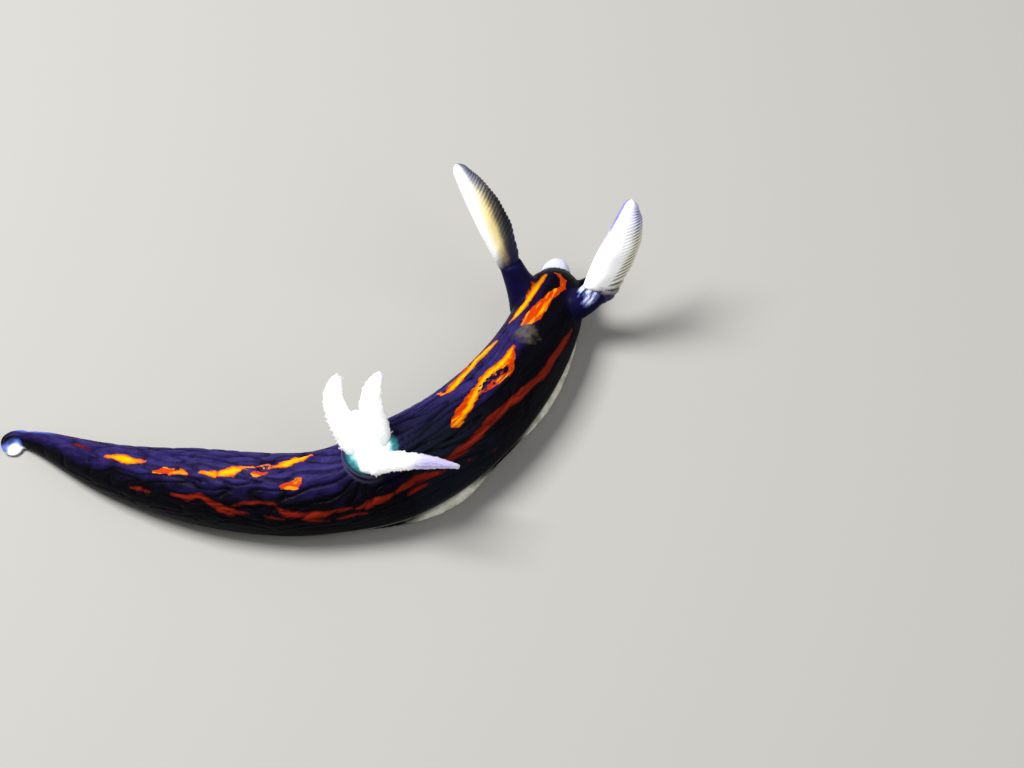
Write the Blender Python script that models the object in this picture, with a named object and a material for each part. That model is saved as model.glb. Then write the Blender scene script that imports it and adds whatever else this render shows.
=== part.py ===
"""A graceful wrinkle dorid, a sea slug 28 mm long, as a still model that rests on its foot.

Sizes are in millimetres, and each finished mesh is scaled to metres.
The origin lies on the sole under the gill: +X runs forward there, +Y to the animal's left, +Z up.
A station is a share of the body's length, from 0 at the tip of the tail to 1 at the front of the head.
"""

import math
import random

import bmesh
import bpy
import numpy as np
from mathutils import Vector

METRES_PER_MM = 0.001
GAP = 0.3
MERGE = 0.0001
UP = Vector((0.0, 0.0, 1.0))
QUARTER = math.pi / 2.0

# Driving dimensions of the body, which bends to its left from tail to head
BODY_LENGTH = 28.0
GILL_STATION = 0.575
HEADING_STATIONS = (0.0, 0.10, 0.25, 0.40, 0.55, 0.70, 0.85, 1.0)
HEADING_DEGREES = (-28.0, -50.0, -39.0, -29.5, -5.0, 25.5, 45.5, 67.5)
WIDTH_STATIONS = (0.0, 0.035, 0.10, 0.20, 0.35, 0.50, 0.60, 0.75, 0.90, 0.97, 1.0)
WIDTHS = (0.20, 0.60, 1.18, 1.95, 2.85, 3.05, 3.60, 3.25, 2.70, 2.42, 2.25)
HEIGHT_PER_WIDTH = 0.95
MIDDLE_LEVEL = 0.42
UPPER_REACH = 0.58
LOWER_REACH = 0.55
TAIL_CAP = 0.004
HEAD_CAP = 0.950
SPINE_STEPS = 560

# How finely the body is divided
BODY_SEGMENTS = 24
BODY_RINGS = 84
TAIL_CAP_RINGS = 2
HEAD_CAP_RINGS = 7

# The foot, a plate with a flat sole and a thin margin
FOOT_HEIGHT = 0.55
FOOT_REAR = 0.06
FOOT_FRONT = 0.952
FOOT_CAP = 0.045
FOOT_SHARE_STATIONS = (0.0, 0.50, 0.57, 0.64, 0.72, 0.82, 0.90, 0.95)
FOOT_SHARES = (0.66, 0.70, 0.81, 0.98, 0.82, 0.97, 0.90, 0.85)
FOOT_FLATNESS = 0.62
FOOT_SQUARENESS = 0.6
FOOT_RINGS = 60

# Cuts that part the body into named lengths
TAIL_TIP_END = 0.13
BODY_CUTS = (
    ("tail", 0.13, 0.30),
    ("hind_body", 0.30, 0.50),
    ("mid_body", 0.50, 0.68),
    ("fore_body", 0.68, 0.86),
)
FOOT_CUTS = (
    ("foot_rear", 0.13, 0.36),
    ("foot_middle", 0.36, 0.66),
)
FOOT_FRONT_START = 0.66
HEAD_START = 0.86
HEAD_FACE = 0.985

# The snout, a pale dome with lips round the mouth
SNOUT_LEVEL = 1.25
SNOUT_REACH = 0.88
SNOUT_HALF_WIDTH = 0.60
SNOUT_HALF_HEIGHT = 0.58
MOUTH_DIP_DEGREES = 38.0
MOUTH_DEPTH = 0.16
LIP_RAISE = 0.06
MOUTH_ANGLE_DEGREES = 14.0
LIP_ANGLE_DEGREES = 34.0

# Oral tentacles, short and held down beside the mouth
TENTACLE_STATION = 0.965
TENTACLE_SIDE = 0.62
TENTACLE_LEVEL = 1.20
TENTACLE_RUN = (1.60, 1.15, -0.82)
TENTACLE_SAG = 0.10
TENTACLE_ROOT_RADIUS = 0.32
TENTACLE_TIP_RADIUS = 0.25

# Rhinophores: a smooth stalk, and a club that bears lamellae on its rear side and a keel in front.
# The stalk's root, its bend and the club's two ends are given as ahead, outward and up from one station.
RHINOPHORE_STATION = 0.93
RHINOPHORES = {
    "left": {
        "side": 1.0,
        "stalk": ((0.05, 0.70, 1.40), (0.25, 1.05, 2.30)),
        "club": ((0.38, 1.27, 3.10), (1.97, 3.37, 6.90)),
        "keel": 0.44,
        "rear": 0.80,
        "rear_at_root": 0.42,
    },
    "right": {
        "side": -1.0,
        "stalk": ((0.10, 0.70, 1.45), (0.22, 1.45, 1.85)),
        "club": ((0.33, 1.98, 2.35), (2.20, 3.18, 5.75)),
        "keel": 0.60,
        "rear": 0.90,
        "rear_at_root": 0.72,
    },
}
REAR_DIRECTION = Vector((0.97, -0.25, 0.0))
STALK_ROOT_RADIUS = 0.66
STALK_TOP_RADIUS = 0.47
STALK_OVERRUN = 0.5
CLUB_THICKNESS = 0.52
LAMELLAE = 9
RINGS_PER_LAMELLA = 3
CLUB_SEGMENTS = 20
CLUB_TIP_RINGS = 4
LAMELLA_DEPTH = 0.26
LAMELLA_RISE = 0.75
CLUB_STATIONS = (0.0, 0.10, 0.25, 0.42, 0.60, 0.80, 1.0)
CLUB_KEEL_SHARES = (0.95, 1.0, 1.0, 0.93, 0.78, 0.56, 0.32)
CLUB_REAR_SHARES = (1.0, 1.0, 0.86, 0.60, 0.26)

# The gill collar, a low rim round a dish that the branches stand in
COLLAR_HALF_LENGTH = 1.10
COLLAR_HALF_WIDTH = 0.86
COLLAR_RIM = 0.20
COLLAR_RIM_TOP = 0.08
COLLAR_DISH = -0.20
COLLAR_BASE = -0.75
COLLAR_EDGE = 0.08
COLLAR_STEPS = 24
SEAT_HEIGHT = 1.0

# Gill branches: root, middle and tip, each as forward, left and up from the top of the back,
# how far the pinnae spread against the lengths below, and the seed of their variation
BRANCHES = {
    "gill_branch_rear_left": ((-0.48, 0.22, 0.0), (-0.80, 1.46, 1.08), (-0.36, 2.34, 1.66), 1.05, 3),
    "gill_branch_left": ((-0.06, 0.40, 0.0), (-0.30, 0.84, 0.66), (-0.25, 1.22, 1.02), 1.05, 2),
    "gill_branch_front_left": ((0.36, 0.24, 0.0), (0.56, 1.12, 1.20), (0.96, 1.86, 1.76), 1.25, 3),
    "gill_branch_front_right": ((0.04, -0.42, 0.0), (1.18, -1.70, 0.50), (2.64, -2.30, 0.30), 1.08, 4),
}
BRANCH_SINK = 0.3
RACHIS_ROOT_RADIUS = 0.26
RACHIS_TIP_RADIUS = 0.09
RACHIS_SEGMENTS = 8
RACHIS_RINGS = 12

# Pinnae, in two rows at the sides of each branch and a shorter one on its upper face
PINNA_PITCH = 0.26
PINNA_FIRST = 0.16
PINNA_LAST = 0.93
PINNA_REACH_STATIONS = (0.0, 0.26, 0.50, 0.75, 1.0)
PINNA_REACHES = (0.36, 0.46, 0.40, 0.27, 0.10)
PINNA_ROOT_SHARE = 0.92
PINNA_TIP_RADIUS = 0.07
PINNA_LEAN = 0.75
PINNA_CURL = 0.06
PINNA_VARIATION = 0.10
# Rows of pinnae: how far each is shifted in pitches, its turn from upright, and its size
PINNA_ROWS = ((0.0, 88.0, 1.0), (0.33, -88.0, 1.0), (-0.33, 4.0, 0.80))
PINNA_SEGMENTS = 5
PINNA_RINGS = 4

# Finishes: colour and roughness of the skin of each part
INDIGO = ((0.018, 0.013, 0.062), 0.35)
PALE_MARGIN = ((0.62, 0.66, 0.52), 0.45)
LAVENDER_WHITE = ((0.72, 0.70, 0.84), 0.40)
IVORY = ((0.86, 0.85, 0.74), 0.45)
TEAL = ((0.20, 0.52, 0.50), 0.45)
GILL_WHITE = ((0.90, 0.90, 0.96), 0.45)
VIOLET_BLACK = ((0.030, 0.024, 0.080), 0.40)


def curve_through(stations, values, at):
    """Smooth curve through the given values that adds no bumps between them."""
    x = np.array(stations)
    y = np.array(values)
    step = np.diff(x)
    slope = np.diff(y) / step
    tangent = np.zeros_like(y)
    tangent[0] = slope[0]
    tangent[-1] = slope[-1]
    for i in range(1, len(x) - 1):
        if slope[i - 1] * slope[i] > 0.0:
            before = 2.0 * step[i] + step[i - 1]
            after = step[i] + 2.0 * step[i - 1]
            tangent[i] = (before + after) / (before / slope[i - 1] + after / slope[i])
    at = np.clip(at, x[0], x[-1])
    i = np.clip(np.searchsorted(x, at, side="right") - 1, 0, len(x) - 2)
    t = (at - x[i]) / step[i]
    start = y[i] + t * t * (3.0 - 2.0 * t) * (y[i + 1] - y[i])
    leave = t * (1.0 - t) ** 2 * step[i] * tangent[i]
    arrive = t * t * (1.0 - t) * step[i] * tangent[i + 1]
    return start + leave - arrive


def trace_spine():
    """Stations, floor positions and headings along the body's middle line."""
    stations = np.linspace(0.0, 1.0, SPINE_STEPS + 1)
    heading = np.radians(curve_through(HEADING_STATIONS, HEADING_DEGREES, stations))
    middle = (heading[1:] + heading[:-1]) / 2.0
    step = BODY_LENGTH / SPINE_STEPS
    x = np.concatenate(([0.0], np.cumsum(step * np.cos(middle))))
    y = np.concatenate(([0.0], np.cumsum(step * np.sin(middle))))
    x -= np.interp(GILL_STATION, stations, x)
    y -= np.interp(GILL_STATION, stations, y)
    return stations, x, y, heading


SPINE = trace_spine()


def spine_frame(station):
    """Floor point, forward and left directions of the body at a station."""
    stations, x, y, heading = SPINE
    inside = min(max(station, 0.0), 1.0)
    turn = float(np.interp(inside, stations, heading))
    forward = Vector((math.cos(turn), math.sin(turn), 0.0))
    left = Vector((-math.sin(turn), math.cos(turn), 0.0))
    point = Vector((float(np.interp(inside, stations, x)), float(np.interp(inside, stations, y)), 0.0))
    return point + forward * (station - inside) * BODY_LENGTH, forward, left


def half_width_at(station):
    """Half the body's width at a station, before its ends are rounded."""
    return float(curve_through(WIDTH_STATIONS, WIDTHS, station)) / 2.0


def back_level(station):
    """Height of the back at a station."""
    return 2.0 * half_width_at(station) * HEIGHT_PER_WIDTH


def end_size(station):
    """Share of the full section that is left where the body rounds off."""
    if station < TAIL_CAP:
        return math.sqrt(max(0.0, 1.0 - (1.0 - station / TAIL_CAP) ** 2))
    if station > HEAD_CAP:
        return math.sqrt(max(0.0, 1.0 - ((station - HEAD_CAP) / (1.0 - HEAD_CAP)) ** 2))
    return 1.0


def body_point(station, angle):
    """Point of the skin at a station and at an angle from the back, positive to the right."""
    point, _, left = spine_frame(station)
    size = end_size(station)
    level = back_level(station)
    reach = UPPER_REACH if math.cos(angle) > 0.0 else LOWER_REACH
    side = -half_width_at(station) * size * math.sin(angle)
    height = level * (MIDDLE_LEVEL + reach * size * math.cos(angle))
    return point + left * side + UP * max(height, 0.0)


def foot_point(station, angle):
    """Point of the foot's plate at a station and an angle from its top, positive to the right."""
    point, _, left = spine_frame(station)
    size = 1.0
    if station > FOOT_FRONT - FOOT_CAP:
        size = math.sqrt(max(0.0, 1.0 - ((station - FOOT_FRONT + FOOT_CAP) / FOOT_CAP) ** 2))
    share = float(curve_through(FOOT_SHARE_STATIONS, FOOT_SHARES, station))
    sine = math.sin(angle)
    spread = math.copysign(abs(sine) ** FOOT_SQUARENESS, sine)
    side = -half_width_at(station) * share * size * spread
    height = FOOT_HEIGHT * min(max(0.5 + FOOT_FLATNESS * math.cos(angle), 0.0), 1.0)
    return point + left * side + UP * height


def sphere_places(bm, rings):
    """Ring number and angle of each vertex of a unit sphere whose poles are on Z."""
    for vert in bm.verts:
        ring = round(math.acos(min(max(vert.co.z, -1.0), 1.0)) / math.pi * rings)
        yield vert, ring, math.atan2(vert.co.y, vert.co.x)


def body_station(ring):
    """Station of one of the body's rings, closer together where the head rounds off."""
    last = BODY_RINGS - HEAD_CAP_RINGS
    if ring < TAIL_CAP_RINGS:
        return TAIL_CAP * (1.0 - math.cos(QUARTER * ring / TAIL_CAP_RINGS))
    if ring > last:
        return HEAD_CAP + (1.0 - HEAD_CAP) * math.sin(QUARTER * (ring - last) / HEAD_CAP_RINGS)
    return TAIL_CAP + (HEAD_CAP - TAIL_CAP) * (ring - TAIL_CAP_RINGS) / (last - TAIL_CAP_RINGS)


def whole_body():
    """The body from tail to head in one piece."""
    bm = bmesh.new()
    bmesh.ops.create_uvsphere(bm, u_segments=BODY_SEGMENTS, v_segments=BODY_RINGS, radius=1.0)
    for vert, ring, angle in sphere_places(bm, BODY_RINGS):
        vert.co = body_point(body_station(ring), angle)
    face_outwards(bm)
    return bm


def foot_station(ring):
    """Station of one of the foot's rings, closer together where its front rounds off."""
    last = FOOT_RINGS - HEAD_CAP_RINGS
    cap = FOOT_FRONT - FOOT_CAP
    if ring > last:
        return cap + FOOT_CAP * math.sin(QUARTER * (ring - last) / HEAD_CAP_RINGS)
    return FOOT_REAR + (cap - FOOT_REAR) * ring / last


def whole_foot():
    """The foot in one piece, rounded in front."""
    bm = bmesh.new()
    bmesh.ops.create_uvsphere(bm, u_segments=BODY_SEGMENTS, v_segments=FOOT_RINGS, radius=1.0)
    for vert, ring, angle in sphere_places(bm, FOOT_RINGS):
        vert.co = foot_point(foot_station(ring), angle)
        if ring == 0:
            vert.co = spine_frame(FOOT_REAR)[0] + UP * FOOT_HEIGHT / 2.0
    face_outwards(bm)
    return bm


def cut(bm, point, normal):
    """Cut away what lies beyond a plane, on its normal's side, and close the cut with a flat face."""
    everything = bm.verts[:] + bm.edges[:] + bm.faces[:]
    result = bmesh.ops.bisect_plane(
        bm, geom=everything, dist=MERGE, plane_co=point, plane_no=normal, clear_outer=True
    )
    rim = [item for item in result["geom_cut"] if isinstance(item, bmesh.types.BMEdge)]
    bmesh.ops.edgeloop_fill(bm, edges=rim)


def cut_before(bm, station, ahead=0.0):
    """Cut away what lies behind a station."""
    point, forward, _ = spine_frame(station)
    cut(bm, point + forward * ahead, -forward)


def cut_beyond(bm, station, ahead=0.0):
    """Cut away what lies ahead of a station."""
    point, forward, _ = spine_frame(station)
    cut(bm, point + forward * ahead, forward)


def largest_surface(bm):
    """Keep only the largest closed surface of a mesh."""
    left = set(bm.verts)
    pieces = []
    while left:
        piece = {left.pop()}
        edge = list(piece)
        while edge:
            found = {link.other_vert(vert) for vert in edge for link in vert.link_edges} - piece
            piece |= found
            edge = list(found)
        left -= piece
        pieces.append(piece)
    pieces.sort(key=len)
    for piece in pieces[:-1]:
        bmesh.ops.delete(bm, geom=list(piece), context="VERTS")


def face_outwards(bm):
    """Turn every face of a closed mesh outwards."""
    bmesh.ops.recalc_face_normals(bm, faces=bm.faces[:])
    if bm.calc_volume(signed=True) < 0.0:
        bmesh.ops.reverse_faces(bm, faces=bm.faces[:])


def finish_mesh(bm, name):
    """Mesh in metres from a finished bmesh in millimetres."""
    bmesh.ops.triangulate(bm, faces=bm.faces[:])
    face_outwards(bm)
    bmesh.ops.scale(bm, vec=Vector((METRES_PER_MM,) * 3), verts=bm.verts[:])
    mesh = bpy.data.meshes.new(name)
    bm.to_mesh(mesh)
    bm.free()
    mesh.shade_smooth()
    mesh.set_sharp_from_angle(angle=math.radians(40.0))
    return mesh


def add_node(collection, bm, name, finish):
    """Named object of the part with a material of its own."""
    mesh = finish_mesh(bm, name)
    colour, roughness = finish
    material = bpy.data.materials.new(name + "_skin")
    material.use_nodes = True
    shader = material.node_tree.nodes["Principled BSDF"]
    shader.inputs["Base Color"].default_value = (*colour, 1.0)
    shader.inputs["Roughness"].default_value = roughness
    shader.inputs["Metallic"].default_value = 0.0
    mesh.materials.append(material)
    node = bpy.data.objects.new(name, mesh)
    collection.objects.link(node)
    return node


def add_cutter(collection, bm, name):
    """Guide object that only cuts others."""
    guide = bpy.data.objects.new(name, finish_mesh(bm, name))
    guide.hide_render = True
    guide.display_type = "WIRE"
    collection.objects.link(guide)
    return guide


def subtract(node, guide):
    """Cut a guide's shape out of a node."""
    modifier = node.modifiers.new("clearance", "BOOLEAN")
    modifier.operation = "DIFFERENCE"
    modifier.object = guide


def limb(path, reach, rings, segments, tip_rings, tip_cap, rear):
    """Closed limb along a path, flat at its root and rounded at its tip.

    path(share) is a point on the axis, reach(share, ring, angle) the distance from it and how far the
    point is raised along it, tip_cap the share of the path that the round tip takes, and rear the
    direction that the angle is measured from.
    """
    bm = bmesh.new()
    bmesh.ops.create_uvsphere(bm, u_segments=segments, v_segments=rings, radius=1.0)
    for vert, ring, angle in sphere_places(bm, rings):
        size = 1.0
        if ring == 0:
            share = 0.0
            size = 0.0
        elif ring > rings - tip_rings:
            turn = QUARTER * (ring - rings + tip_rings) / tip_rings
            share = 1.0 - tip_cap * (1.0 - math.sin(turn))
            size = math.cos(turn)
        else:
            share = (1.0 - tip_cap) * (ring - 1) / (rings - tip_rings - 1)
        step = 0.01
        along = (path(min(share + step, 1.0)) - path(max(share - step, 0.0))).normalized()
        back = (rear - along * rear.dot(along)).normalized()
        side = along.cross(back)
        distance, rise = reach(share, ring, angle)
        out = back * math.cos(angle) + side * math.sin(angle)
        vert.co = path(share) + out * distance * size + along * rise * size
    face_outwards(bm)
    return bm


def body_lengths(collection):
    """The body parted into lengths, and its foot into three."""
    bm = whole_body()
    cut_beyond(bm, TAIL_TIP_END)
    add_node(collection, bm, "tail_tip", INDIGO)
    for name, start, end in BODY_CUTS:
        bm = whole_body()
        cut_before(bm, start, GAP)
        cut_beyond(bm, end)
        cut(bm, UP * (FOOT_HEIGHT + GAP), -UP)
        add_node(collection, bm, name, INDIGO)
    bm = whole_body()
    cut_before(bm, HEAD_START, GAP)
    cut_beyond(bm, HEAD_FACE)
    cut(bm, UP * (FOOT_HEIGHT + GAP), -UP)
    add_node(collection, bm, "head", INDIGO)
    for name, start, end in FOOT_CUTS:
        bm = whole_foot()
        cut_before(bm, start, GAP)
        cut_beyond(bm, end)
        add_node(collection, bm, name, PALE_MARGIN)
    bm = whole_foot()
    cut_before(bm, FOOT_FRONT_START, GAP)
    add_node(collection, bm, "foot_front", PALE_MARGIN)


def body_clearance(cutters):
    """The whole body, a gap larger all round, for trimming what grows from it."""
    bm = whole_body()
    bm.normal_update()
    for vert, normal in [(vert, vert.normal.copy()) for vert in bm.verts]:
        vert.co += normal * GAP
    return add_cutter(cutters, bm, "body_clearance")


def snout(collection):
    """Pale dome in front of the head, with raised lips round a dent for the mouth."""
    rings = 16
    point, forward, left = spine_frame(HEAD_FACE)
    centre = point + UP * SNOUT_LEVEL
    dip = math.radians(MOUTH_DIP_DEGREES)
    mouth = forward * math.cos(dip) - UP * math.sin(dip)
    over = left.cross(mouth)
    bm = bmesh.new()
    bmesh.ops.create_uvsphere(bm, u_segments=20, v_segments=rings, radius=1.0)
    for vert, ring, angle in sphere_places(bm, rings):
        polar = math.pi * ring / rings
        out = mouth * math.cos(polar) + (left * math.cos(angle) + over * math.sin(angle)) * math.sin(polar)
        degrees = math.degrees(polar)
        dent = MOUTH_DEPTH * math.exp(-((degrees / MOUTH_ANGLE_DEGREES) ** 2))
        lip = LIP_RAISE * math.exp(-(((degrees - LIP_ANGLE_DEGREES) / MOUTH_ANGLE_DEGREES) ** 2))
        reach = Vector((
            out.dot(forward) * SNOUT_REACH,
            out.dot(left) * SNOUT_HALF_WIDTH,
            out.z * SNOUT_HALF_HEIGHT,
        ))
        place = centre + forward * reach.x + left * reach.y + UP * reach.z
        vert.co = place + out * (lip - dent)
    face_outwards(bm)
    cut_before(bm, HEAD_FACE, GAP)
    add_node(collection, bm, "snout", LAVENDER_WHITE)


def bent_path(root, middle, tip):
    """Smooth path from a root through a middle point to a tip."""
    start, through, end = (Vector(point) for point in (root, middle, tip))

    def path(share):
        bend = through * 2.0 - (start + end) * 0.5
        return start * (1.0 - share) ** 2 + bend * 2.0 * share * (1.0 - share) + end * share ** 2

    return path


def oral_tentacle(collection, name, side, clearance):
    """Short tentacle at one side of the mouth."""
    point, forward, left = spine_frame(TENTACLE_STATION)
    root = point + left * side * TENTACLE_SIDE + UP * TENTACLE_LEVEL
    run = forward * TENTACLE_RUN[0] + left * side * TENTACLE_RUN[1] + UP * TENTACLE_RUN[2]

    def path(share):
        return root + run * share - UP * TENTACLE_SAG * math.sin(math.pi * share)

    def reach(share, ring, angle):
        return TENTACLE_ROOT_RADIUS + (TENTACLE_TIP_RADIUS - TENTACLE_ROOT_RADIUS) * share, 0.0

    bm = limb(path, reach, 12, 12, 3, 0.16, forward)
    node = add_node(collection, bm, name, VIOLET_BLACK)
    subtract(node, clearance)


def head_place(side, place):
    """Point given as ahead, outward and up from the rhinophores' station."""
    point, forward, left = spine_frame(RHINOPHORE_STATION)
    ahead, outward, up = place
    return point + forward * ahead + left * side * outward + UP * up


def stalk(collection, name, sizes, clearance):
    """Smooth stalk of a rhinophore, which flares into the head."""
    root, bend = (head_place(sizes["side"], place) for place in sizes["stalk"])
    club_root, club_tip = (head_place(sizes["side"], place) for place in sizes["club"])
    lean = (club_tip - club_root).normalized()
    path = bent_path(root, bend, club_root + lean * STALK_OVERRUN)

    def reach(share, ring, angle):
        flare = (1.0 - share) ** 2
        return STALK_TOP_RADIUS + (STALK_ROOT_RADIUS - STALK_TOP_RADIUS) * flare, 0.0

    bm = limb(path, reach, 14, 16, 1, 0.0, REAR_DIRECTION)
    cut(bm, club_root - lean * GAP, lean)
    node = add_node(collection, bm, name, VIOLET_BLACK)
    subtract(node, clearance)


def club_section(angle, rear, keel, thickness):
    """Distance from a club's axis to its surface: two half ellipses, rear and keel."""
    depth = rear if math.cos(angle) > 0.0 else keel
    return depth * thickness / math.hypot(thickness * math.cos(angle), depth * math.sin(angle))


def club(collection, name, sizes):
    """Club of a rhinophore, with tilted lamellae on its rear side and a smooth keel."""
    root, tip = (head_place(sizes["side"], place) for place in sizes["club"])
    keel = sizes["keel"]
    rear = sizes["rear"]
    swell = (sizes["rear_at_root"], (sizes["rear_at_root"] + 1.0) / 2.0)
    rings = LAMELLAE * RINGS_PER_LAMELLA + CLUB_TIP_RINGS + 1

    def path(share):
        return root.lerp(tip, share)

    def reach(share, ring, angle):
        keel_reach = keel * float(curve_through(CLUB_STATIONS, CLUB_KEEL_SHARES, share))
        rear_reach = rear * float(curve_through(CLUB_STATIONS, swell + CLUB_REAR_SHARES, share))
        thickness = CLUB_THICKNESS * rear_reach / rear
        distance = club_section(angle, rear_reach, keel_reach, thickness)
        rearness = min(max(0.5 + 0.8 * math.cos(angle), 0.0), 1.0)
        if ring % RINGS_PER_LAMELLA == 0:
            distance *= 1.0 - LAMELLA_DEPTH * rearness
        start_fade = min(share / 0.15, 1.0)
        end_fade = min((1.0 - share) / 0.25, 1.0)
        rise = LAMELLA_RISE * distance * math.cos(angle) * start_fade * end_fade
        return distance, rise

    bm = limb(path, reach, rings, CLUB_SEGMENTS, CLUB_TIP_RINGS, 0.06, REAR_DIRECTION)
    add_node(collection, bm, name, IVORY)


def rhinophores(collection, clearance):
    """Both rhinophores."""
    for name, sizes in RHINOPHORES.items():
        stalk(collection, "rhinophore_stalk_" + name, sizes, clearance)
        club(collection, "rhinophore_club_" + name, sizes)


def turned_about_gill(profile, half_length, half_width):
    """Closed body turned from a profile of radius and level, then narrowed, on top of the back."""
    bm = bmesh.new()
    verts = [bm.verts.new((radius, 0.0, level)) for radius, level in profile]
    edges = [bm.edges.new(pair) for pair in zip(verts, verts[1:])]
    bmesh.ops.spin(
        bm, geom=verts + edges, cent=(0.0, 0.0, 0.0), axis=UP,
        angle=2.0 * math.pi, steps=COLLAR_STEPS, use_merge=True,
    )
    bmesh.ops.remove_doubles(bm, verts=bm.verts[:], dist=MERGE)
    bmesh.ops.scale(bm, vec=(1.0, half_width / half_length, 1.0), verts=bm.verts[:])
    bmesh.ops.translate(bm, vec=UP * back_level(GILL_STATION), verts=bm.verts[:])
    face_outwards(bm)
    return bm


def collar_mesh(grow):
    """Dish with a raised rim, longer than wide, grown outwards and upwards by a margin."""
    outer = COLLAR_HALF_LENGTH + grow
    inner = COLLAR_HALF_LENGTH - COLLAR_RIM - grow
    rim = COLLAR_RIM_TOP + grow
    profile = (
        (0.0, COLLAR_BASE),
        (outer - COLLAR_EDGE, COLLAR_BASE),
        (outer, COLLAR_BASE + COLLAR_EDGE),
        (outer, rim - COLLAR_EDGE),
        (outer - COLLAR_EDGE, rim),
        (inner + COLLAR_EDGE, rim),
        (inner, rim - COLLAR_EDGE),
        (inner - COLLAR_EDGE, COLLAR_DISH + grow),
        (0.0, COLLAR_DISH + grow),
    )
    return turned_about_gill(profile, outer, COLLAR_HALF_WIDTH + grow)


def collar_seat():
    """The space that the collar and the gap round it take out of the back."""
    outer = COLLAR_HALF_LENGTH + GAP
    base = COLLAR_BASE - GAP
    profile = ((0.0, base), (outer, base), (outer, SEAT_HEIGHT), (0.0, SEAT_HEIGHT))
    return turned_about_gill(profile, outer, COLLAR_HALF_WIDTH + GAP)


def gill_collar(collection, cutters):
    """Collar set into the back, and its seat cut out of the middle of the body."""
    add_node(collection, collar_mesh(0.0), "gill_collar", TEAL)
    seat = add_cutter(cutters, collar_seat(), "collar_seat")
    subtract(collection.objects["mid_body"], seat)


def loose_object(bm):
    """Scene object of a piece that is joined or cut away while the part is built."""
    mesh = bpy.data.meshes.new("piece")
    bm.to_mesh(mesh)
    bm.free()
    return bpy.data.objects.new("piece", mesh)


def join_pieces(pieces, clear_of):
    """One closed body from overlapping closed ones, cut clear of another shape."""
    scene = bpy.context.scene.collection
    added = bpy.data.collections.new("pieces")
    scene.children.link(added)
    core, *others = (loose_object(bm) for bm in pieces)
    guide = loose_object(clear_of)
    scene.objects.link(core)
    scene.objects.link(guide)
    for item in others:
        added.objects.link(item)
    union = core.modifiers.new("join", "BOOLEAN")
    union.operation = "UNION"
    union.operand_type = "COLLECTION"
    union.collection = added
    subtract(core, guide)
    bpy.context.view_layer.update()
    joined = core.evaluated_get(bpy.context.evaluated_depsgraph_get())
    bm = bmesh.new()
    bm.from_mesh(joined.to_mesh())
    for item in (core, guide, *others):
        bpy.data.objects.remove(item, do_unlink=True)
    bpy.data.collections.remove(added)
    bmesh.ops.dissolve_degenerate(bm, dist=MERGE, edges=bm.edges[:])
    bmesh.ops.triangulate(bm, faces=bm.faces[:])
    largest_surface(bm)
    return bm


def pinna(start, out, along, length, root_radius):
    """One tapering filament, bent towards the tip of its branch."""
    lean = (out + along * PINNA_LEAN).normalized()

    def path(share):
        return start + lean * length * share + along * PINNA_CURL * share * share

    def reach(share, ring, angle):
        return root_radius + (PINNA_TIP_RADIUS - root_radius) * share, 0.0

    return limb(path, reach, PINNA_RINGS, PINNA_SEGMENTS, 1, 0.0, along.cross(out))


def gill_branch(collection, name, root, middle, tip, fullness, seed):
    """One branch of the gill, a tapering stem with rows of pinnae."""
    draw = random.Random(seed)
    top = UP * back_level(GILL_STATION)
    root, middle, tip = (Vector(point) + top for point in (root, middle, tip))
    path = bent_path(root - UP * BRANCH_SINK, middle, tip)

    def reach(share, ring, angle):
        return RACHIS_ROOT_RADIUS + (RACHIS_TIP_RADIUS - RACHIS_ROOT_RADIUS) * share, 0.0

    pieces = [limb(path, reach, RACHIS_RINGS, RACHIS_SEGMENTS, 2, 0.04, Vector((1.0, 0.0, 0.0)))]
    length = (middle - root).length + (tip - middle).length
    count = round((PINNA_LAST - PINNA_FIRST) * length / PINNA_PITCH)
    pitch = (PINNA_LAST - PINNA_FIRST) / count
    for number in range(count + 1):
        for row, turn_degrees, size in PINNA_ROWS:
            share = PINNA_FIRST + pitch * (number + row)
            along = (path(share + 0.01) - path(share - 0.01)).normalized()
            side = along.cross(UP).normalized()
            turn = math.radians(turn_degrees)
            out = side * math.sin(turn) + side.cross(along) * math.cos(turn)
            span = float(curve_through(PINNA_REACH_STATIONS, PINNA_REACHES, share)) * size
            span *= fullness * (1.0 + draw.uniform(-PINNA_VARIATION, PINNA_VARIATION))
            thickness = reach(share, 0, 0.0)[0] * PINNA_ROOT_SHARE
            pieces.append(pinna(path(share), out, along, span * math.hypot(1.0, PINNA_LEAN), thickness))
    bm = join_pieces(pieces, collar_mesh(GAP))
    add_node(collection, bm, name, GILL_WHITE)


def clear_scene():
    """Remove what the file holds to start with."""
    for item in list(bpy.data.objects):
        bpy.data.objects.remove(item, do_unlink=True)


def main():
    """Build every node of the part."""
    clear_scene()
    dorid = bpy.data.collections.new("graceful_wrinkle_dorid")
    cutters = bpy.data.collections.new("cutters")
    bpy.context.scene.collection.children.link(dorid)
    bpy.context.scene.collection.children.link(cutters)
    body_lengths(dorid)
    clearance = body_clearance(cutters)
    snout(dorid)
    for name, side in (("left", 1.0), ("right", -1.0)):
        oral_tentacle(dorid, "oral_tentacle_" + name, side, clearance)
    rhinophores(dorid, clearance)
    gill_collar(dorid, cutters)
    for name, shape in BRANCHES.items():
        gill_branch(dorid, name, *shape)


main()
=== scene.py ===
"""Looks of a graceful wrinkle dorid, a sea slug 28 mm long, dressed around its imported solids.

Shapes are worked out in millimetres and scaled to metres when a mesh is finished. A station is a share
of the body's length, from 0 at the tip of the tail to 1 at the front of the head, and an angle on the
body is measured from the middle of the back, positive to the animal's right.
"""

import logging
import math
import random
from collections.abc import Callable, Iterable
from dataclasses import dataclass
from enum import Enum
from functools import partial

import bmesh
import bpy
import numpy as np
from mathutils import Matrix, Vector, noise


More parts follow.
